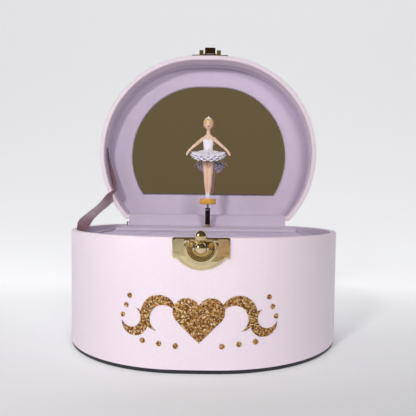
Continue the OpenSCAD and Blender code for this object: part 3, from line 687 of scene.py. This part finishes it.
# the ring is open at the top, where the latch's neck passes: cut level and closed
trimmed(bm, (0, 0, slot_z), (0, 0, 1))
for side in (-1, 1):
    near, far = sorted((lock_x + side * 2.95, lock_x + side * 3.6))
    cheek = box_bm(bm, (near, pin_y - 1.2, hub_z - 1.3), (far, face_y, hub_z + 1.3))
    edges = edges_of(cheek, lambda v: v.co.y < pin_y)
    soften(bm, [e for e in edges if abs(e.verts[0].co.x - e.verts[1].co.x) > 0.3], 1.1, 6)
for side in (-1, 1):
    near, far = sorted((lock_x + side * 5.35, lock_x + side * 8.1))
    shoulder = box_bm(bm, (near, face_y - 1.6, slot_z - 0.3), (far, face_y + 0.1, slot_z + 1.5))
    soften(bm, edges_of(shoulder, lambda v: v.co.y < face_y - 1), 0.5, 3)
finished("lock_boss_brass", bm, pale_brass, "case", ["lock_boss"], crease=30)

# ---- Snap latch ----
# A cast brass knob on a short neck that rocks on the boss's pin. A catch behind the knob
# snaps over the hasp's tongue, and the thumb pushes the knob to free it.
ball_z = 66.1
bm = bmesh.new()
knob = [
    (0.0, -2.8), (1.2, -2.6), (1.9, -2.05), (2.5, -1.2), (2.8, -0.1), (2.75, 0.8), (2.35, 1.6), (1.6, 2.3),
    (0.8, 2.7), (0.0, 2.8),
]
turned(bm, knob, along((0, -1, 0), (lock_x, pin_y, ball_z)), 28)
neck = box_bm(bm, (lock_x - 1.2, pin_y - 1.0, hub_z - 0.4), (lock_x + 1.2, pin_y + 1.0, ball_z - 1.5))
soften(bm, edges_of(neck), 0.35, 3)
hub = [
    (0.0, -1.7), (2.0, -1.7), (2.2, -1.6), (2.7, -0.6), (2.8, 0.0), (2.65, 0.9), (2.2, 1.75), (1.4, 2.4),
    (0.6, 2.72), (0.0, 2.78),
]
turned(bm, hub, along((0, -1, 0), (lock_x, pin_y, hub_z)), 36)
catch = box_bm(bm, (lock_x - 0.9, pin_y, ball_z + 0.3), (lock_x + 0.9, pin_y + 3.85, ball_z + 1.1))
soften(bm, edges_of(catch), 0.15, 2)
finished("latch_knob", bm, pale_brass, "latch", ["latch_ball"], crease=30)

# ---- Hinges ----
# Two small brass butts nailed behind the back wall and the lid, each with five rolled
# knuckles on a steel pin. The knuckles alternate between the case leaf and the lid leaf.
hinge_y, hinge_z = 50.8, 67.0
lid_pose = (
    Matrix.Translation((0, hinge_y, hinge_z))
    @ Matrix.Rotation(radians(-93), 4, "X")
    @ Matrix.Translation((0, -hinge_y, -hinge_z))
)


def butt_leaf(bm, low, high, knuckles):
    """One leaf of each hinge: a bevelled plate with its own share of the rolled knuckles."""
    for middle in (-38.0, 38.0):
        plate = box_bm(bm, (middle - 9, back_y, low), (middle + 9, back_y + 0.6, high))
        soften(bm, edges_of(plate, lambda v: v.co.y > back_y + 0.3), 0.2, 2)
        for k in knuckles:
            x0 = middle - 9 + 3.6 * k + 0.15
            tube = [(0.65, 0), (1.3, 0), (1.5, 0.2), (1.5, 3.1), (1.3, 3.3), (0.65, 3.3), (0.65, 0)]
            turned(bm, tube, along((1, 0, 0), (x0, hinge_y, hinge_z)), 28)
            strap_low, strap_high = min(low, hinge_z + 0.1), max(high, hinge_z - 0.1)
            box_bm(bm, (x0, back_y + 0.02, strap_low), (x0 + 3.3, back_y + 0.58, strap_high))


bm = bmesh.new()
butt_leaf(bm, 56.0, 64.8, (0, 2, 4))
finished("hinge_butts_case", bm, pale_brass, "case", ["hinge_leaves_case"])
bm = bmesh.new()
butt_leaf(bm, hinge_z + 1.8, hinge_z + 10.5, (1, 3))
finished("hinge_butts_lid", bm, pale_brass, "lid", ["hinge_leaves_lid"], place=lid_pose)

# ---- Hinge strip ----
# A strip of the lining cloth glued to the inner faces of both rims. It covers the gap
# behind the deck and folds inward as the lid comes down.
bm = bmesh.new()
strip_line = [
    (45.3, 64.15), (45.3, 65.0), (45.42, 66.0), (45.9, 67.2), (46.7, 68.5), (47.6, 69.9), (48.3, 71.2),
    (48.95, 72.15), (49.6, 72.5), (50.6, 72.45), (51.7, 72.3), (52.8, 72.15),
]


def thickened(bm, thickness):
    """Gives a sheet its thickness."""
    bmesh.ops.recalc_face_normals(bm, faces=bm.faces)
    bmesh.ops.solidify(bm, geom=bm.faces[:], thickness=thickness)


ends = []
for i in range(55):
    x = -56.9 + 113.8 * i / 54
    row = []
    for j, (y, z) in enumerate(strip_line):
        slack = 0.10 * sin(x * 0.31 + j) * (1 if 1 < j < 7 else 0.2)
        row.append(bm.verts.new((x, y + slack, z)))
    ends.append([bm.edges.new(pair) for pair in zip(row, row[1:])])
join_rings(bm, ends)
thickened(bm, 0.25)
strip = finished("hinge_strip_cloth", bm, lilac_flock, None, ["hinge_strip"], crease=50)
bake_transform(strip)

# ---- Ribbon stay ----
# Mauve satin ribbon 7 mm wide, glued into the left wall of the case and of the lid. It is
# longer than its span, so it hangs slack with a half twist, and keeps the lid from falling.
satin = Finish("mauve_satin", 0.38, Sheen_Weight=0.4, Sheen_Roughness=0.3, Anisotropic=0.5)
weave_uv = satin.node("UVMap").outputs["UV"]
thread_map = satin.node("Mapping", {"Vector": weave_uv, "Scale": (28.0, 440.0, 1.0)}).outputs["Vector"]
wave = {"Vector": thread_map, "Scale": 1.0, "Distortion": 0.6}
threads = satin.node("TexWave", wave, wave_type="BANDS", bands_direction="Y").outputs["Fac"]
crushed = satin.range(satin.noise(240, 4), 0.35, 0.7, 0, 1)
satin_tone = satin.blend(crushed, (0.25, 0.135, 0.175), (0.37, 0.22, 0.27))
satin.colour(satin.blend(satin.range(threads, 0.2, 0.8, 0.0, 0.35), satin_tone, (0.19, 0.10, 0.135)))
satin.relief(threads, 0.00005, 0.6)


def smooth_path(points, count):
    """Evenly numbered points on a smooth curve through the given ones."""
    points = [Vector(p) for p in points]
    ends = [points[0] * 2 - points[1]] + points + [points[-1] * 2 - points[-2]]
    line = []
    for i in range(count):
        u = i / (count - 1) * (len(points) - 1)
        k = min(int(u), len(points) - 2)
        u -= k
        a, b, c, d = ends[k:k + 4]
        square, cube = 2 * a - 5 * b + 4 * c - d, 3 * b - a - 3 * c + d
        line.append(0.5 * (2 * b + (c - a) * u + square * u**2 + cube * u**3))
    return line


ribbon_route = [
    (-73.2, -20, 60.5), (-73.1, -16.5, 64.2), (-72.8, -10.5, 67.6), (-72.5, -3, 70.8), (-72.1, 12, 74.6),
    (-71.6, 28, 78.2), (-71.2, 41, 82.0), (-70.2, 50.0, 86.0), (-69.3, 55.5, 89.8), (-71.9, 60.0, 96.0),
    (-74.6, 62.3, 105), (-75.9, 62.2, 114), (-76.2, 61.8, 121.5),
]
ribbon_turns = [5, 12, 35, 55, 62, 58, 40, 2, -32, -48, -42, -24, -8]
ribbon_half = 3.5
steps = 109
line = smooth_path(ribbon_route, steps)
turns = [p.x for p in smooth_path([(t, 0, 0) for t in ribbon_turns], steps)]
bm = bmesh.new()
uv = bm.loops.layers.uv.new("UVMap")
rows = []
for i, middle in enumerate(line):
    forward = (line[min(i + 1, steps - 1)] - line[max(i - 1, 0)]).normalized()
    across = Vector((sin(radians(turns[i])), cos(radians(turns[i])), 0))
    across = (across - forward * across.dot(forward)).normalized()
    face = forward.cross(across)
    row = []
    for j in range(7):
        share = -1 + 2 * j / 6
        curl = 0.28 * (share**2 - 0.4)
        row.append(bm.verts.new(middle + across * share * ribbon_half + face * curl))
    rows.append([bm.edges.new(pair) for pair in zip(row, row[1:])])
join_rings(bm, rows)
bm.verts.index_update()
order = {v: i for i, v in enumerate(bm.verts)}
for face in bm.faces:
    for corner in face.loops:
        number = order[corner.vert]
        corner[uv].uv = ((number % 7) / 6, (number // 7) / (steps - 1))
thickened(bm, 0.22)
ribbon = finished("ribbon_stay_satin", bm, satin.mat, None, ["ribbon_stay"], crease=50)
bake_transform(ribbon)

# ---- Lid board, covering and linings ----
# The lid is a shallow D-shaped tray of the same board, covered in leatherette that is
# turned in over the rim. Lilac paper lines the wall behind it, down to the panel.
bm = bmesh.new()
d_sweep(
    bm,
    [(0.6, 87.4), (0.6, 65.9), (2.8, 65.9), (2.8, 75.3), (3.3, 75.3), (3.42, 74.9), (3.4, 66.2), (3.2, 65.6),
     (2.75, 65.3), (0.8, 65.3), (0.4, 65.42), (0.12, 65.75), (0.0, 66.3), (0.0, 73), (0.0, 80), (0.0, 86.4),
     (0.2, 87.1), (0.7, 87.6), (1.6, 87.85), (4, 87.97), (12, 88.0)],
)
finished("lid_covering", bm, pink_leatherette, "lid", ["lid_cover"], place=lid_pose)
bm = bmesh.new()
d_sweep(bm, [(2.82, 75.32), (2.82, 84.2), (3.3, 84.2), (3.3, 75.6), (3.2, 75.32)], closed=True)
finished("lid_lining_paper", bm, lilac_flock, "lid", ["lid_lining"], place=lid_pose)

# ---- Lid panel and mirror ----
# A padded card frame, covered in the lilac paper, holds the D-shaped mirror. Its edge rolls
# softly down to the glass, and it is pushed into the lid and glued.
bm = bmesh.new()
d_sweep(
    bm,
    [(2.9, 85.55), (2.9, 84.6), (3.3, 84.35), (4.2, 84.2), (7, 84.12), (12, 84.1), (16, 84.12),
     (18.6, 84.22), (19.7, 84.5), (20.0, 84.9), (20.0, 85.55)],
    closed=True,
)
kept_edge, glass_edge = 4, 20
glass_shift, glass_stretch = 0.7, 0.042


def draw_out(bm):
    """Lengthens the plan around the glass towards the lid's front, and leaves the outer edge."""
    for v in bm.verts:
        side = side_r
        if abs(v.co.x) > side_cx:
            side -= sqrt((abs(v.co.x) - side_cx) ** 2 + v.co.y**2)
        front = front_r - sqrt(v.co.x**2 + (v.co.y - front_cy) ** 2)
        inset = min(side, front, back_y - v.co.y)
        share = min(1, max(0, (inset - kept_edge) / (glass_edge - kept_edge)))
        v.co.y += share * (glass_shift + glass_stretch * (v.co.y - back_y + glass_edge))


draw_out(bm)
finished("lid_panel_card", bm, lilac_flock, "lid", ["lid_panel"], place=lid_pose)

# Silvered glass with a ground edge: very slightly uneven, with a trace of dust in the gloss.
mirror = Finish("silvered_glass", 0.02, 1.0)
mirror.shader.inputs["Base Color"].default_value = (0.90, 0.91, 0.90, 1)
mirror.gloss(mirror.noise(35, 5, 0.7), 0.012, 0.035)
mirror.relief(mirror.noise(9, 1), 0.00002, 0.15)
bm = bmesh.new()
d_sweep(bm, [(20.1, 85.55), (20.1, 84.95), (20.6, 84.72), (21.3, 84.65)])
draw_out(bm)
finished("mirror_glass", bm, mirror.mat, "lid", ["mirror"], place=lid_pose, crease=12)

# ---- Hasp ----
# A small brass plate nailed to the lid's front, with two cast posts, a steel pin and a
# hinged tongue with a window, which drops over the case's lock and is held by the latch.
hasp_x = 0.4
hasp_half = 13.5
rim_z = 65.3
hasp_low = rim_z + 0.8
hasp_pin_y, hasp_pin_z = front_y - 2.2, rim_z + 5.2
bm = bmesh.new()
plate = box_bm(bm, (hasp_x - hasp_half, face_y, hasp_low), (hasp_x + hasp_half, front_y, hasp_low + 10))
soften(bm, [e for e in edges_of(plate) if abs(e.verts[0].co.y - e.verts[1].co.y) > 0.3], 1.0, 3)
soften(bm, [e for e in bm.edges if all(v.co.y < face_y + 0.01 for v in e.verts)], 0.25, 3)
for side in (-1, 1):
    middle = hasp_x + side * 6.5
    low, high = hasp_pin_z - 1.3, hasp_pin_z + 1.3
    post = box_bm(bm, (middle - 1.5, front_y - 5.4, low), (middle + 1.5, face_y, high))
    soften(bm, edges_of(post, lambda v: v.co.y < front_y - 5), 0.6, 4)
finished("hasp_plate_brass", bm, pale_brass, "lid", ["hasp_plate"], place=lid_pose)

# painted reflection: the tongue's brass is coloured dark brown, standing in for the dark surroundings its
# face reflects
tongue_brass_painted_dark = metal_finish("tongue_brass_painted_dark", (0.20, 0.12, 0.065), (0.10, 0.05, 0.03), 0.25)
bm = bmesh.new()
tongue_half, tongue_len, window_half = 3.9, 5.4, 2.85
slab = box_bm(
    bm,
    (hasp_x - tongue_half, hasp_pin_y - tongue_len, hasp_pin_z - 0.35),
    (hasp_x + tongue_half, hasp_pin_y - 0.9, hasp_pin_z + 0.35),
)
soften(bm, edges_of(slab, lambda v: v.co.y < hasp_pin_y - 5), 0.3, 3)
knuckle = [(0.65, 0), (1.1, 0), (1.1, 1.15), (0.65, 1.15), (0.65, 0)]
for low_x in (hasp_x - tongue_half, hasp_x + window_half - 0.1):
    turned(bm, knuckle, along((1, 0, 0), (low_x, hasp_pin_y, hasp_pin_z)), 28)
finished("hasp_tongue_brass", bm, tongue_brass_painted_dark, "tongue", ["hasp_tongue"], place=lid_pose)

# ---- Movement ----
# A bought-in clockwork: zinc bed and spring barrel, steel comb and screws, brass wheels,
# pinned cylinder, governor and air brake. It is screwed to the back wall, under the deck.
refinish(cast_zinc, ["movement_frame", "spring_barrel"])
refinish(bright_steel, ["movement_screws", "comb", "comb_screws", "winding_arbor"])
refinish(bright_steel, ["stop_wire", "wire_guide", "mainspring"])
refinish(cut_brass, ["main_wheel", "pinned_cylinder", "cylinder_arbor"])
refinish(cut_brass, ["governor_wheel", "air_brake", "turntable_spindle"])

# ---- Winding key ----
# A butterfly key: a turned barrel threaded on the arbor, with two flat pierced wings whose
# edges are rolled smooth by tumbling.
drum_x, key_z, key_y = -12.8, 18.5, 52.2
wing_reach, wing_r, wing_hole = 7.0, 5.0, 2.4
bm = bmesh.new()
barrel = [
    (1.52, 0), (2.3, 0), (2.6, 0.3), (2.6, 2.2), (2.35, 2.4), (2.35, 2.8), (2.6, 3.0), (2.6, 8.6), (2.2, 9.0),
    (0.0, 9.0),
]
turned(bm, barrel, along((0, 1, 0), (drum_x, key_y, key_z)), 40)
# each wing is a flat ring with rounded edges
wing = [
    (wing_hole, -0.3), (wing_hole + 0.25, -0.62), (wing_r - 0.5, -0.62), (wing_r, -0.15), (wing_r, 0.15),
    (wing_r - 0.5, 0.62), (wing_hole + 0.25, 0.62), (wing_hole, 0.3), (wing_hole, -0.3),
]
for side in (-1, 1):
    turned(bm, wing, Matrix.Translation((drum_x + side * wing_reach, key_y + 10.75, key_z)), 48)
web = box_bm(bm, (drum_x - 5.0, key_y + 7.5, key_z - 0.6), (drum_x + 5.0, key_y + 14, key_z + 0.6))
soften(bm, edges_of(web), 0.3, 3)
finished("butterfly_key", bm, pale_brass, "key", ["winding_key"])

# ---- Sprung post ----
# Close-wound steel wire, coloured near black as a painted reflection of dark surroundings,
# seated on the spindle and closed by a ferrule at the top. It turns the figure and lets it
# lie down when the lid is shut.
spring_low, spring_high = 65.4, 76.2
wire_r = 0.4
coils = 13
bm = bmesh.new()
start = Matrix.Translation((post_x + 1.5, post_y, spring_low + wire_r)) @ Matrix.Rotation(pi / 2, 4, "X")
wire = bmesh.ops.create_circle(bm, segments=8, radius=wire_r, matrix=start)
steps = coils * 22
rise = (spring_high - spring_low - 2 * wire_r) / steps
bmesh.ops.spin(
    bm, geom=wire["verts"] + edges_of(wire["verts"]), cent=(post_x, post_y, 0), axis=(0, 0, 1),
    dvec=(0, 0, rise), angle=2 * pi * coils, steps=steps,
)
bmesh.ops.holes_fill(bm, edges=[e for e in bm.edges if e.is_boundary], sides=0)
spring = finished("post_coil_spring", bm, dark_steel, None, ["post_spring"], crease=60)
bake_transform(spring)
bm = bmesh.new()
ferrule = [(0.85, 0), (1.7, 0), (1.9, 0.2), (1.9, 1.0), (1.7, 1.2), (1.0, 1.2), (0.85, 1.05), (0.85, 0)]
turned(bm, ferrule, Matrix.Translation((post_x, post_y, spring_high)), 36)
finished("post_collar", bm, dark_steel, "post", ["post_ferrule"])

# ---- Stand disc ----
# A golden moulded disc with a softly rounded rim and a fine step on top. The stem is
# pressed into it from below, and the feet are moulded on.


def moulded_finish(name, colour, shade, rough=0.35, blush=60):
    """Moulded and hand-painted plastic: uneven paint, tiny sinks and a satin lacquer."""
    made = Finish(name, rough, Coat_Weight=0.25, Coat_Roughness=0.2)
    made.shader.inputs["Subsurface Weight"].default_value = 0.08
    made.shader.inputs["Subsurface Radius"].default_value = (0.0012, 0.0008, 0.0006)
    paint = made.noise(blush * 6, 4, 0.6)
    brush = made.noise(2200, 4, 0.7)
    made.colour(made.blend(made.range(paint, 0.35, 0.7, 0, 0.7), colour, shade))
    made.gloss(brush, rough - 0.08, rough + 0.1)
    made.relief(brush, 0.00003, 0.4)
    return made.mat


gold_moulding = moulded_finish("gold_moulding", (0.78, 0.42, 0.07), (0.60, 0.29, 0.04), 0.3)
feet_z = 84.0
bm = bmesh.new()
disc = [
    (0.0, -4.0), (4.9, -4.0), (5.5, -3.75), (5.88, -3.1), (5.9, -1.2), (5.7, -0.5), (5.2, -0.12), (4.5, 0.0),
    (4.3, -0.12), (4.0, 0.0), (0.0, 0.0),
]
turned(bm, disc, Matrix.Translation((post_x, post_y, feet_z)), 56)
finished("stand_disc_moulded", bm, gold_moulding, "figure", ["stand_disc"])

# ---- Figure ----
# A small moulded dancer on her toes, legs crossed, arms lowered and a little away from the
# body. Limbs are lofted from rings, as the halves of the mould would give them.
hip_z, head_z = 112.5, 136.1


def loft(bm, base, stations, segments=20):
    """A closed limb through rings of (place from the base, width, depth), each square to its run."""
    centres = [base + Vector(station[0]) for station in stations]
    rings = []
    for i, (centre, (_, width, depth)) in enumerate(zip(centres, stations)):
        run = (centres[min(i + 1, len(centres) - 1)] - centres[max(i - 1, 0)]).normalized()
        side = Vector((1, 0, 0)) if abs(run.x) < 0.8 else Vector((0, 0, 1))
        side = (side - run * side.dot(run)).normalized()
        turn = Matrix((side, run.cross(side), run)).transposed().to_4x4()
        pose = Matrix.Translation(centre) @ turn @ Matrix.Diagonal((width, depth, 1, 1))
        made = bmesh.ops.create_circle(bm, segments=segments, radius=1, matrix=pose)
        rings.append(edges_of(made["verts"]))
    join_rings(bm, rings, capped=True)


def rounded(piece):
    """Smooths a moulded piece by one level of subdivision."""
    step = piece.modifiers.new("soft_form", "SUBSURF")
    step.levels = step.render_levels = 1


skin = moulded_finish("skin_paint", (0.80, 0.57, 0.43), (0.74, 0.47, 0.34), 0.4)
white_paint = moulded_finish("white_paint", (0.86, 0.85, 0.90), (0.76, 0.73, 0.84), 0.4)
at = Vector((post_x, post_y, 0))
bm = bmesh.new()
# legs: front one straight, the other crossing behind at the ankle
for side, sway in ((-1, 0.55), (1, -0.55)):
    loft(bm, at, [
        ((side * 0.6, sway * 1.2, 86.4), 1.0, 1.05),
        ((side * 0.7, sway * 1.1, 89.0), 1.15, 1.2),
        ((side * 1.0, sway * 1.1, 93.0), 1.55, 1.65),
        ((side * 1.2, sway, 96.0), 1.75, 1.8),
        ((side * 1.3, sway * 0.8, 99.5), 1.62, 1.65),
        ((side * 1.5, sway * 0.5, 103.0), 1.95, 1.95),
        ((side * 1.7, sway * 0.3, 108.0), 2.2, 2.15),
        ((side * 1.8, 0, 113.0), 2.35, 2.3),
    ])
# trunk, shoulders and neck
loft(bm, at, [
    ((0, 0, 111.0), 2.9, 2.4), ((0, 0, 113.5), 3.1, 2.5), ((0, 0, 117.5), 2.6, 2.1),
    ((0, 0, 121.5), 3.0, 2.3), ((0, 0, 124.5), 3.3, 2.3), ((0, 0, 126.6), 3.5, 2.0),
    ((0, 0, 127.9), 3.0, 1.7), ((0, 0, 128.8), 1.7, 1.4), ((0, 0, 130.0), 1.25, 1.25),
    ((0, 0, 132.5), 1.2, 1.25), ((0, -0.1, 133.6), 1.3, 1.3),
], 24)
# arms: rounded shoulder, slim elbow, wrist, and a flat hand turned outwards
for side in (-1, 1):
    loft(bm, at, [
        ((side * 2.4, 0, 126.5), 1.25, 1.3), ((side * 3.8, 0, 126.0), 1.42, 1.4),
        ((side * 5.7, -0.3, 124.4), 1.32, 1.3), ((side * 8.3, -0.7, 122.0), 1.12, 1.12),
        ((side * 10.9, -1.0, 119.9), 1.02, 1.0), ((side * 13.0, -1.1, 118.0), 0.8, 0.7),
        ((side * 14.0, -1.15, 116.7), 0.95, 0.5), ((side * 14.8, -1.2, 115.3), 0.85, 0.42),
        ((side * 15.3, -1.2, 114.0), 0.42, 0.26),
    ], 14)
rounded(finished("dancer_body", bm, skin, "figure", ["figure_body"], crease=180))

# head: an egg with a calm doll's face, brows, closed-lid eyes and small lips laid on
bm = bmesh.new()
made = bmesh.ops.create_uvsphere(bm, u_segments=32, v_segments=24, radius=1)
for v in made["verts"]:
    x, y, z = v.co
    jaw = 1 - 0.26 * max(0, -z) ** 1.2
    nose = 0.5 * max(0, 1 - (x / 0.17) ** 2) * max(0, 1 - ((z + 0.12) / 0.26) ** 2) if y < -0.6 else 0
    brow = 0.10 * max(0, 1 - abs(z - 0.22) / 0.2) if y < -0.4 else 0
    lips = 0.14 * max(0, 1 - (x / 0.3) ** 2) * max(0, 1 - ((z + 0.47) / 0.12) ** 2) if y < -0.4 else 0
    depth = y * 3.7 * (1 - 0.12 * max(0, -z)) - nose - brow - lips - 0.3 * max(0, -z)
    v.co = Vector((x * 3.35 * jaw, depth, z * 4.35))
bmesh.ops.translate(bm, verts=bm.verts, vec=at + Vector((0, -0.2, head_z)))
rounded(finished("dancer_head", bm, skin, "figure", crease=180))

# painted face: two brows, two lowered lids and a small mouth, as thin raised strokes
eye_paint = moulded_finish("eye_paint", (0.16, 0.09, 0.07), (0.10, 0.06, 0.05), 0.4)
lip_paint = moulded_finish("lip_paint", (0.55, 0.13, 0.12), (0.45, 0.09, 0.09), 0.35)


def stroke(bm, base, points, thick):
    """A thin tapered stroke on a smooth line through points given from the base."""
    line = smooth_path([base + Vector(p) for p in points], 9)
    taper = [0.35 + 0.65 * sin(pi * (i + 0.6) / 9.2) for i in range(9)]
    loft(bm, Vector(), [(p, thick * share, thick * 0.6) for p, share in zip(line, taper)], 8)


bm = bmesh.new()
for side in (-1, 1):
    face = at + Vector((side * 1.35, -3.32, head_z + 0.15))
    # lid, then brow; the outer end of each lies further back on the cheek
    lid_ends, brow_ends = (0.06, 0.42)[::side], (0.0, 0.45)[::side]
    stroke(bm, face, [(-0.7, lid_ends[0], 0.0), (0, -0.12, -0.22), (0.7, lid_ends[1], 0.0)], 0.3)
    stroke(bm, face, [(-0.75, brow_ends[0], 1.0), (0, -0.15, 1.3), (0.75, brow_ends[1], 1.0)], 0.16)
finished("dancer_eyes", bm, eye_paint, "figure", crease=180)
bm = bmesh.new()
mouth = at + Vector((0, -4.05, head_z - 2.05))
stroke(bm, mouth, [(-0.75, 0.34, 0.08), (0, -0.05, 0.0), (0.75, 0.34, 0.08)], 0.38)
finished("dancer_lips", bm, lip_paint, "figure", crease=180)

# shoes: white points with ribbons wound round the ankles
bm = bmesh.new()
for side, sway in ((-1, 0.55), (1, -0.55)):
    toe = at + Vector((side * 0.55, sway * 1.2 - 0.15, feet_z))
    loft(bm, toe, [
        ((0, -0.3, 0.0), 0.75, 0.7), ((0, -0.28, 0.5), 0.85, 0.85), ((0, -0.15, 1.4), 1.05, 1.2),
        ((0, 0.0, 2.4), 1.1, 1.25), ((0, 0.05, 3.1), 1.02, 1.1), ((side * 0.03, 0.08, 3.5), 0.98, 1.05),
    ], 18)
    for k in range(3):
        ring_at = at + Vector((side * (0.58 + 0.05 * k), sway * 1.12, 87.9 + 0.8 * k))
        tilt = Matrix.Rotation(radians(24 * (-1) ** k), 4, "Y")
        wrap = [(1.0, -0.16), (1.16, -0.1), (1.16, 0.1), (1.0, 0.16)]
        turned(bm, wrap, Matrix.Translation(ring_at) @ tilt @ Matrix.Diagonal((1.0, 1.1, 1, 1)), 20)
finished("dancer_shoes", bm, white_paint, "figure", crease=60)

# ---- Bodice ----
# Moulded in one with the trunk and painted white: a low neckline, a pointed waist and
# fine boning, with two straps over the shoulders.
bm = bmesh.new()
stations = [
    (113.3, 4.4, 3.6), (115.2, 4.1, 3.3), (116.8, 3.45, 2.8), (118.2, 3.2, 2.55), (119.8, 3.22, 2.55),
    (121.6, 3.45, 2.7), (123.4, 3.7, 2.85), (124.6, 3.8, 2.78), (125.3, 3.75, 2.6),
]
rings = []
for z, wide, deep in stations:
    level = Matrix.Translation(at + Vector((0, 0, z)))
    made = bmesh.ops.create_circle(bm, segments=48, radius=1, matrix=level)
    for v in made["verts"]:
        offset = v.co - at - Vector((0, 0, z))
        angle = atan2(offset.y, offset.x)
        front_share = max(0, -sin(angle))
        boning = 1 + 0.012 * cos(angle * 12)
        top_share = max(0, (z - 121) / 4.3)
        middle_dip = 0.7 * max(0, 1 - (offset.x / 0.35) ** 2)
        side_rise = 0.5 * max(0, 1 - ((abs(offset.x) - 0.5) / 0.3) ** 2)
        neckline = (side_rise - middle_dip) * top_share * front_share
        v.co = at + Vector((offset.x * wide * boning, offset.y * deep * boning, z + neckline))
    rings.append(edges_of(made["verts"]))
join_rings(bm, rings)
thickened(bm, 0.3)
for side in (-1, 1):
    strap = [
        (side * 2.0, -2.3, 125.0), (side * 2.5, -1.9, 126.9), (side * 2.3, 0.0, 127.9),
        (side * 2.3, 1.7, 126.8), (side * 2.0, 2.2, 125.0),
    ]
    stroke(bm, at, strap, 0.3)
rounded(finished("dancer_bodice", bm, white_paint, "figure", ["figure_bodice"], crease=180))

# ---- Net skirt ----
# Three layers of stiff net gathered at the hip, in deep pleats with scalloped edges that
# dip in front. The shut lid presses them down, and they spring out again.
net = Finish("lilac_net", 0.75, Sheen_Weight=0.5, Sheen_Roughness=0.4, Sheen_Tint=(0.95, 0.92, 1.0, 1))
net.shader.inputs["Subsurface Weight"].default_value = 0.25
net.shader.inputs["Subsurface Radius"].default_value = (0.001, 0.001, 0.0012)
mesh_cells = net.cells(2400, "Distance")
fold_tone = net.noise(700, 4, 0.6)
net_tone = net.blend(net.range(fold_tone, 0.35, 0.65, 0, 1), (0.87, 0.86, 0.92), (0.68, 0.65, 0.79))
net.colour(net.blend(net.range(mesh_cells, 0.0, 0.5, 0.15, 0.0), net_tone, (0.70, 0.66, 0.78)))
net.relief(mesh_cells, 0.00012, 0.7)
front_dip, back_dip = 0.36, 0.08


def skirt_layer(bm, inner, outer, low, rise, pleats, depth, shift, scallop=0.07):
    """One gathered ring of net: pleats deepen towards the scalloped edge, which dips in front."""
    segments, rings = pleats * 12, []
    for i in range(11):
        share = i / 10
        radius = inner + (outer - inner) * share
        made = bmesh.ops.create_circle(bm, segments=segments, radius=radius, matrix=Matrix.Translation(at))
        for v in made["verts"]:
            flat = v.co - at
            angle = atan2(flat.y, flat.x) + shift
            fold = cos(angle * pleats) * (0.25 + 0.75 * share)
            wander = 0.3 * noise.noise(Vector((cos(angle) * 3, sin(angle) * 3, shift)))
            reach = 1 + share**2 * (scallop * (cos(angle * pleats) - 1) + 0.03 * wander)
            dip = front_dip * min(0, flat.y) + back_dip * max(0, flat.y)
            drop = rise * share**1.6 + depth * share * (0.5 * fold + wander) + dip * share
            v.co = at + Vector((flat.x * reach, flat.y * reach, low + drop))
        rings.append(edges_of(made["verts"]))
    join_rings(bm, rings)


bm = bmesh.new()
skirt_layer(bm, 2.75, 12.5, 117.0, -0.4, 16, 0.8, 0.0)
skirt_layer(bm, 2.8, 13.0, 116.4, -1.1, 16, 0.8, 0.2)
skirt_layer(bm, 2.85, 12.5, 115.8, -1.9, 16, 0.8, 0.4)
thickened(bm, 0.14)
skirt = finished("dancer_skirt", bm, net.mat, "figure", ["figure_skirt"], crease=180)
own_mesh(skirt)

# the bodice ends in white points that lie on the net
bm = bmesh.new()
skirt_layer(bm, 3.1, 7.6, 118.0, -0.7, 10, 0.3, 0.3, scallop=0.14)
thickened(bm, 0.2)
finished("bodice_points", bm, white_paint, "figure", crease=180)

# ---- Hair and tiara ----
# Fair hair drawn back into a bun, modelled in fine strands, and a small white tiara.
hair_paint = moulded_finish("hair_paint", (0.80, 0.56, 0.24), (0.58, 0.36, 0.12), 0.35)
bm = bmesh.new()
made = bmesh.ops.create_uvsphere(bm, u_segments=72, v_segments=36, radius=1)
for v in made["verts"]:
    x, y, z = v.co
    around = atan2(v.co.dot(Vector((1, 0, 0))), v.co.dot(Vector((0, -0.35, 1)).normalized()))
    strand = 0.03 * sin(around * 26) + 0.015 * sin(around * 61 + 1)
    scale = 1 + strand
    v.co = Vector((x * 3.75 * scale, y * 4.05 * scale + 0.25, z * 4.5 * scale + 0.15))


def bare(face):
    """The part of the scalp shape that the hair leaves free: the face and the neck."""
    x, y, z = face.calc_center_median()
    return z < -2.6 or (y < 0.6 - 0.35 * z and z < 1.7 + 0.35 * x)


faces = [f for f in bm.faces if bare(f)]
bmesh.ops.delete(bm, geom=faces, context="FACES")
thickened(bm, 0.3)
# the bun, twisted in eight locks
bun = bmesh.new()
made = bmesh.ops.create_uvsphere(bun, u_segments=40, v_segments=22, radius=2.0)
for v in made["verts"]:
    v.co = v.co * (1 + 0.05 * sin(8 * atan2(v.co.y, v.co.x) + 5 * v.co.z))
placed(bm, bun, Matrix.Translation((0, 3.6, 2.5)))
bmesh.ops.translate(bm, verts=bm.verts, vec=at + Vector((0, -0.2, head_z)))
finished("dancer_hair", bm, hair_paint, "figure", ["figure_hair"], crease=70)

bm = bmesh.new()
row = []
for i in range(27):
    a = radians(-36 + 72 * i / 26)
    p = Vector((3.6 * sin(a), -3.9 * cos(a) + 0.2, 0))
    peak = 0.2 + 1.1 * max(0, 1 - abs(i - 13) / 7.0) + 0.25 * abs(sin(i * pi / 3.25))
    row.append((p, peak))
low = [bm.verts.new(at + Vector((p.x, p.y, head_z + 3.2))) for p, peak in row]
high = [bm.verts.new(at + Vector((p.x * 0.9, p.y * 0.9 + 0.1, head_z + 3.45 + peak))) for p, peak in row]
join_rings(bm, [[bm.edges.new(pair) for pair in zip(one, one[1:])] for one in (low, high)])
thickened(bm, 0.35)
finished("dancer_tiara", bm, white_paint, "figure", ["figure_tiara"], crease=40)
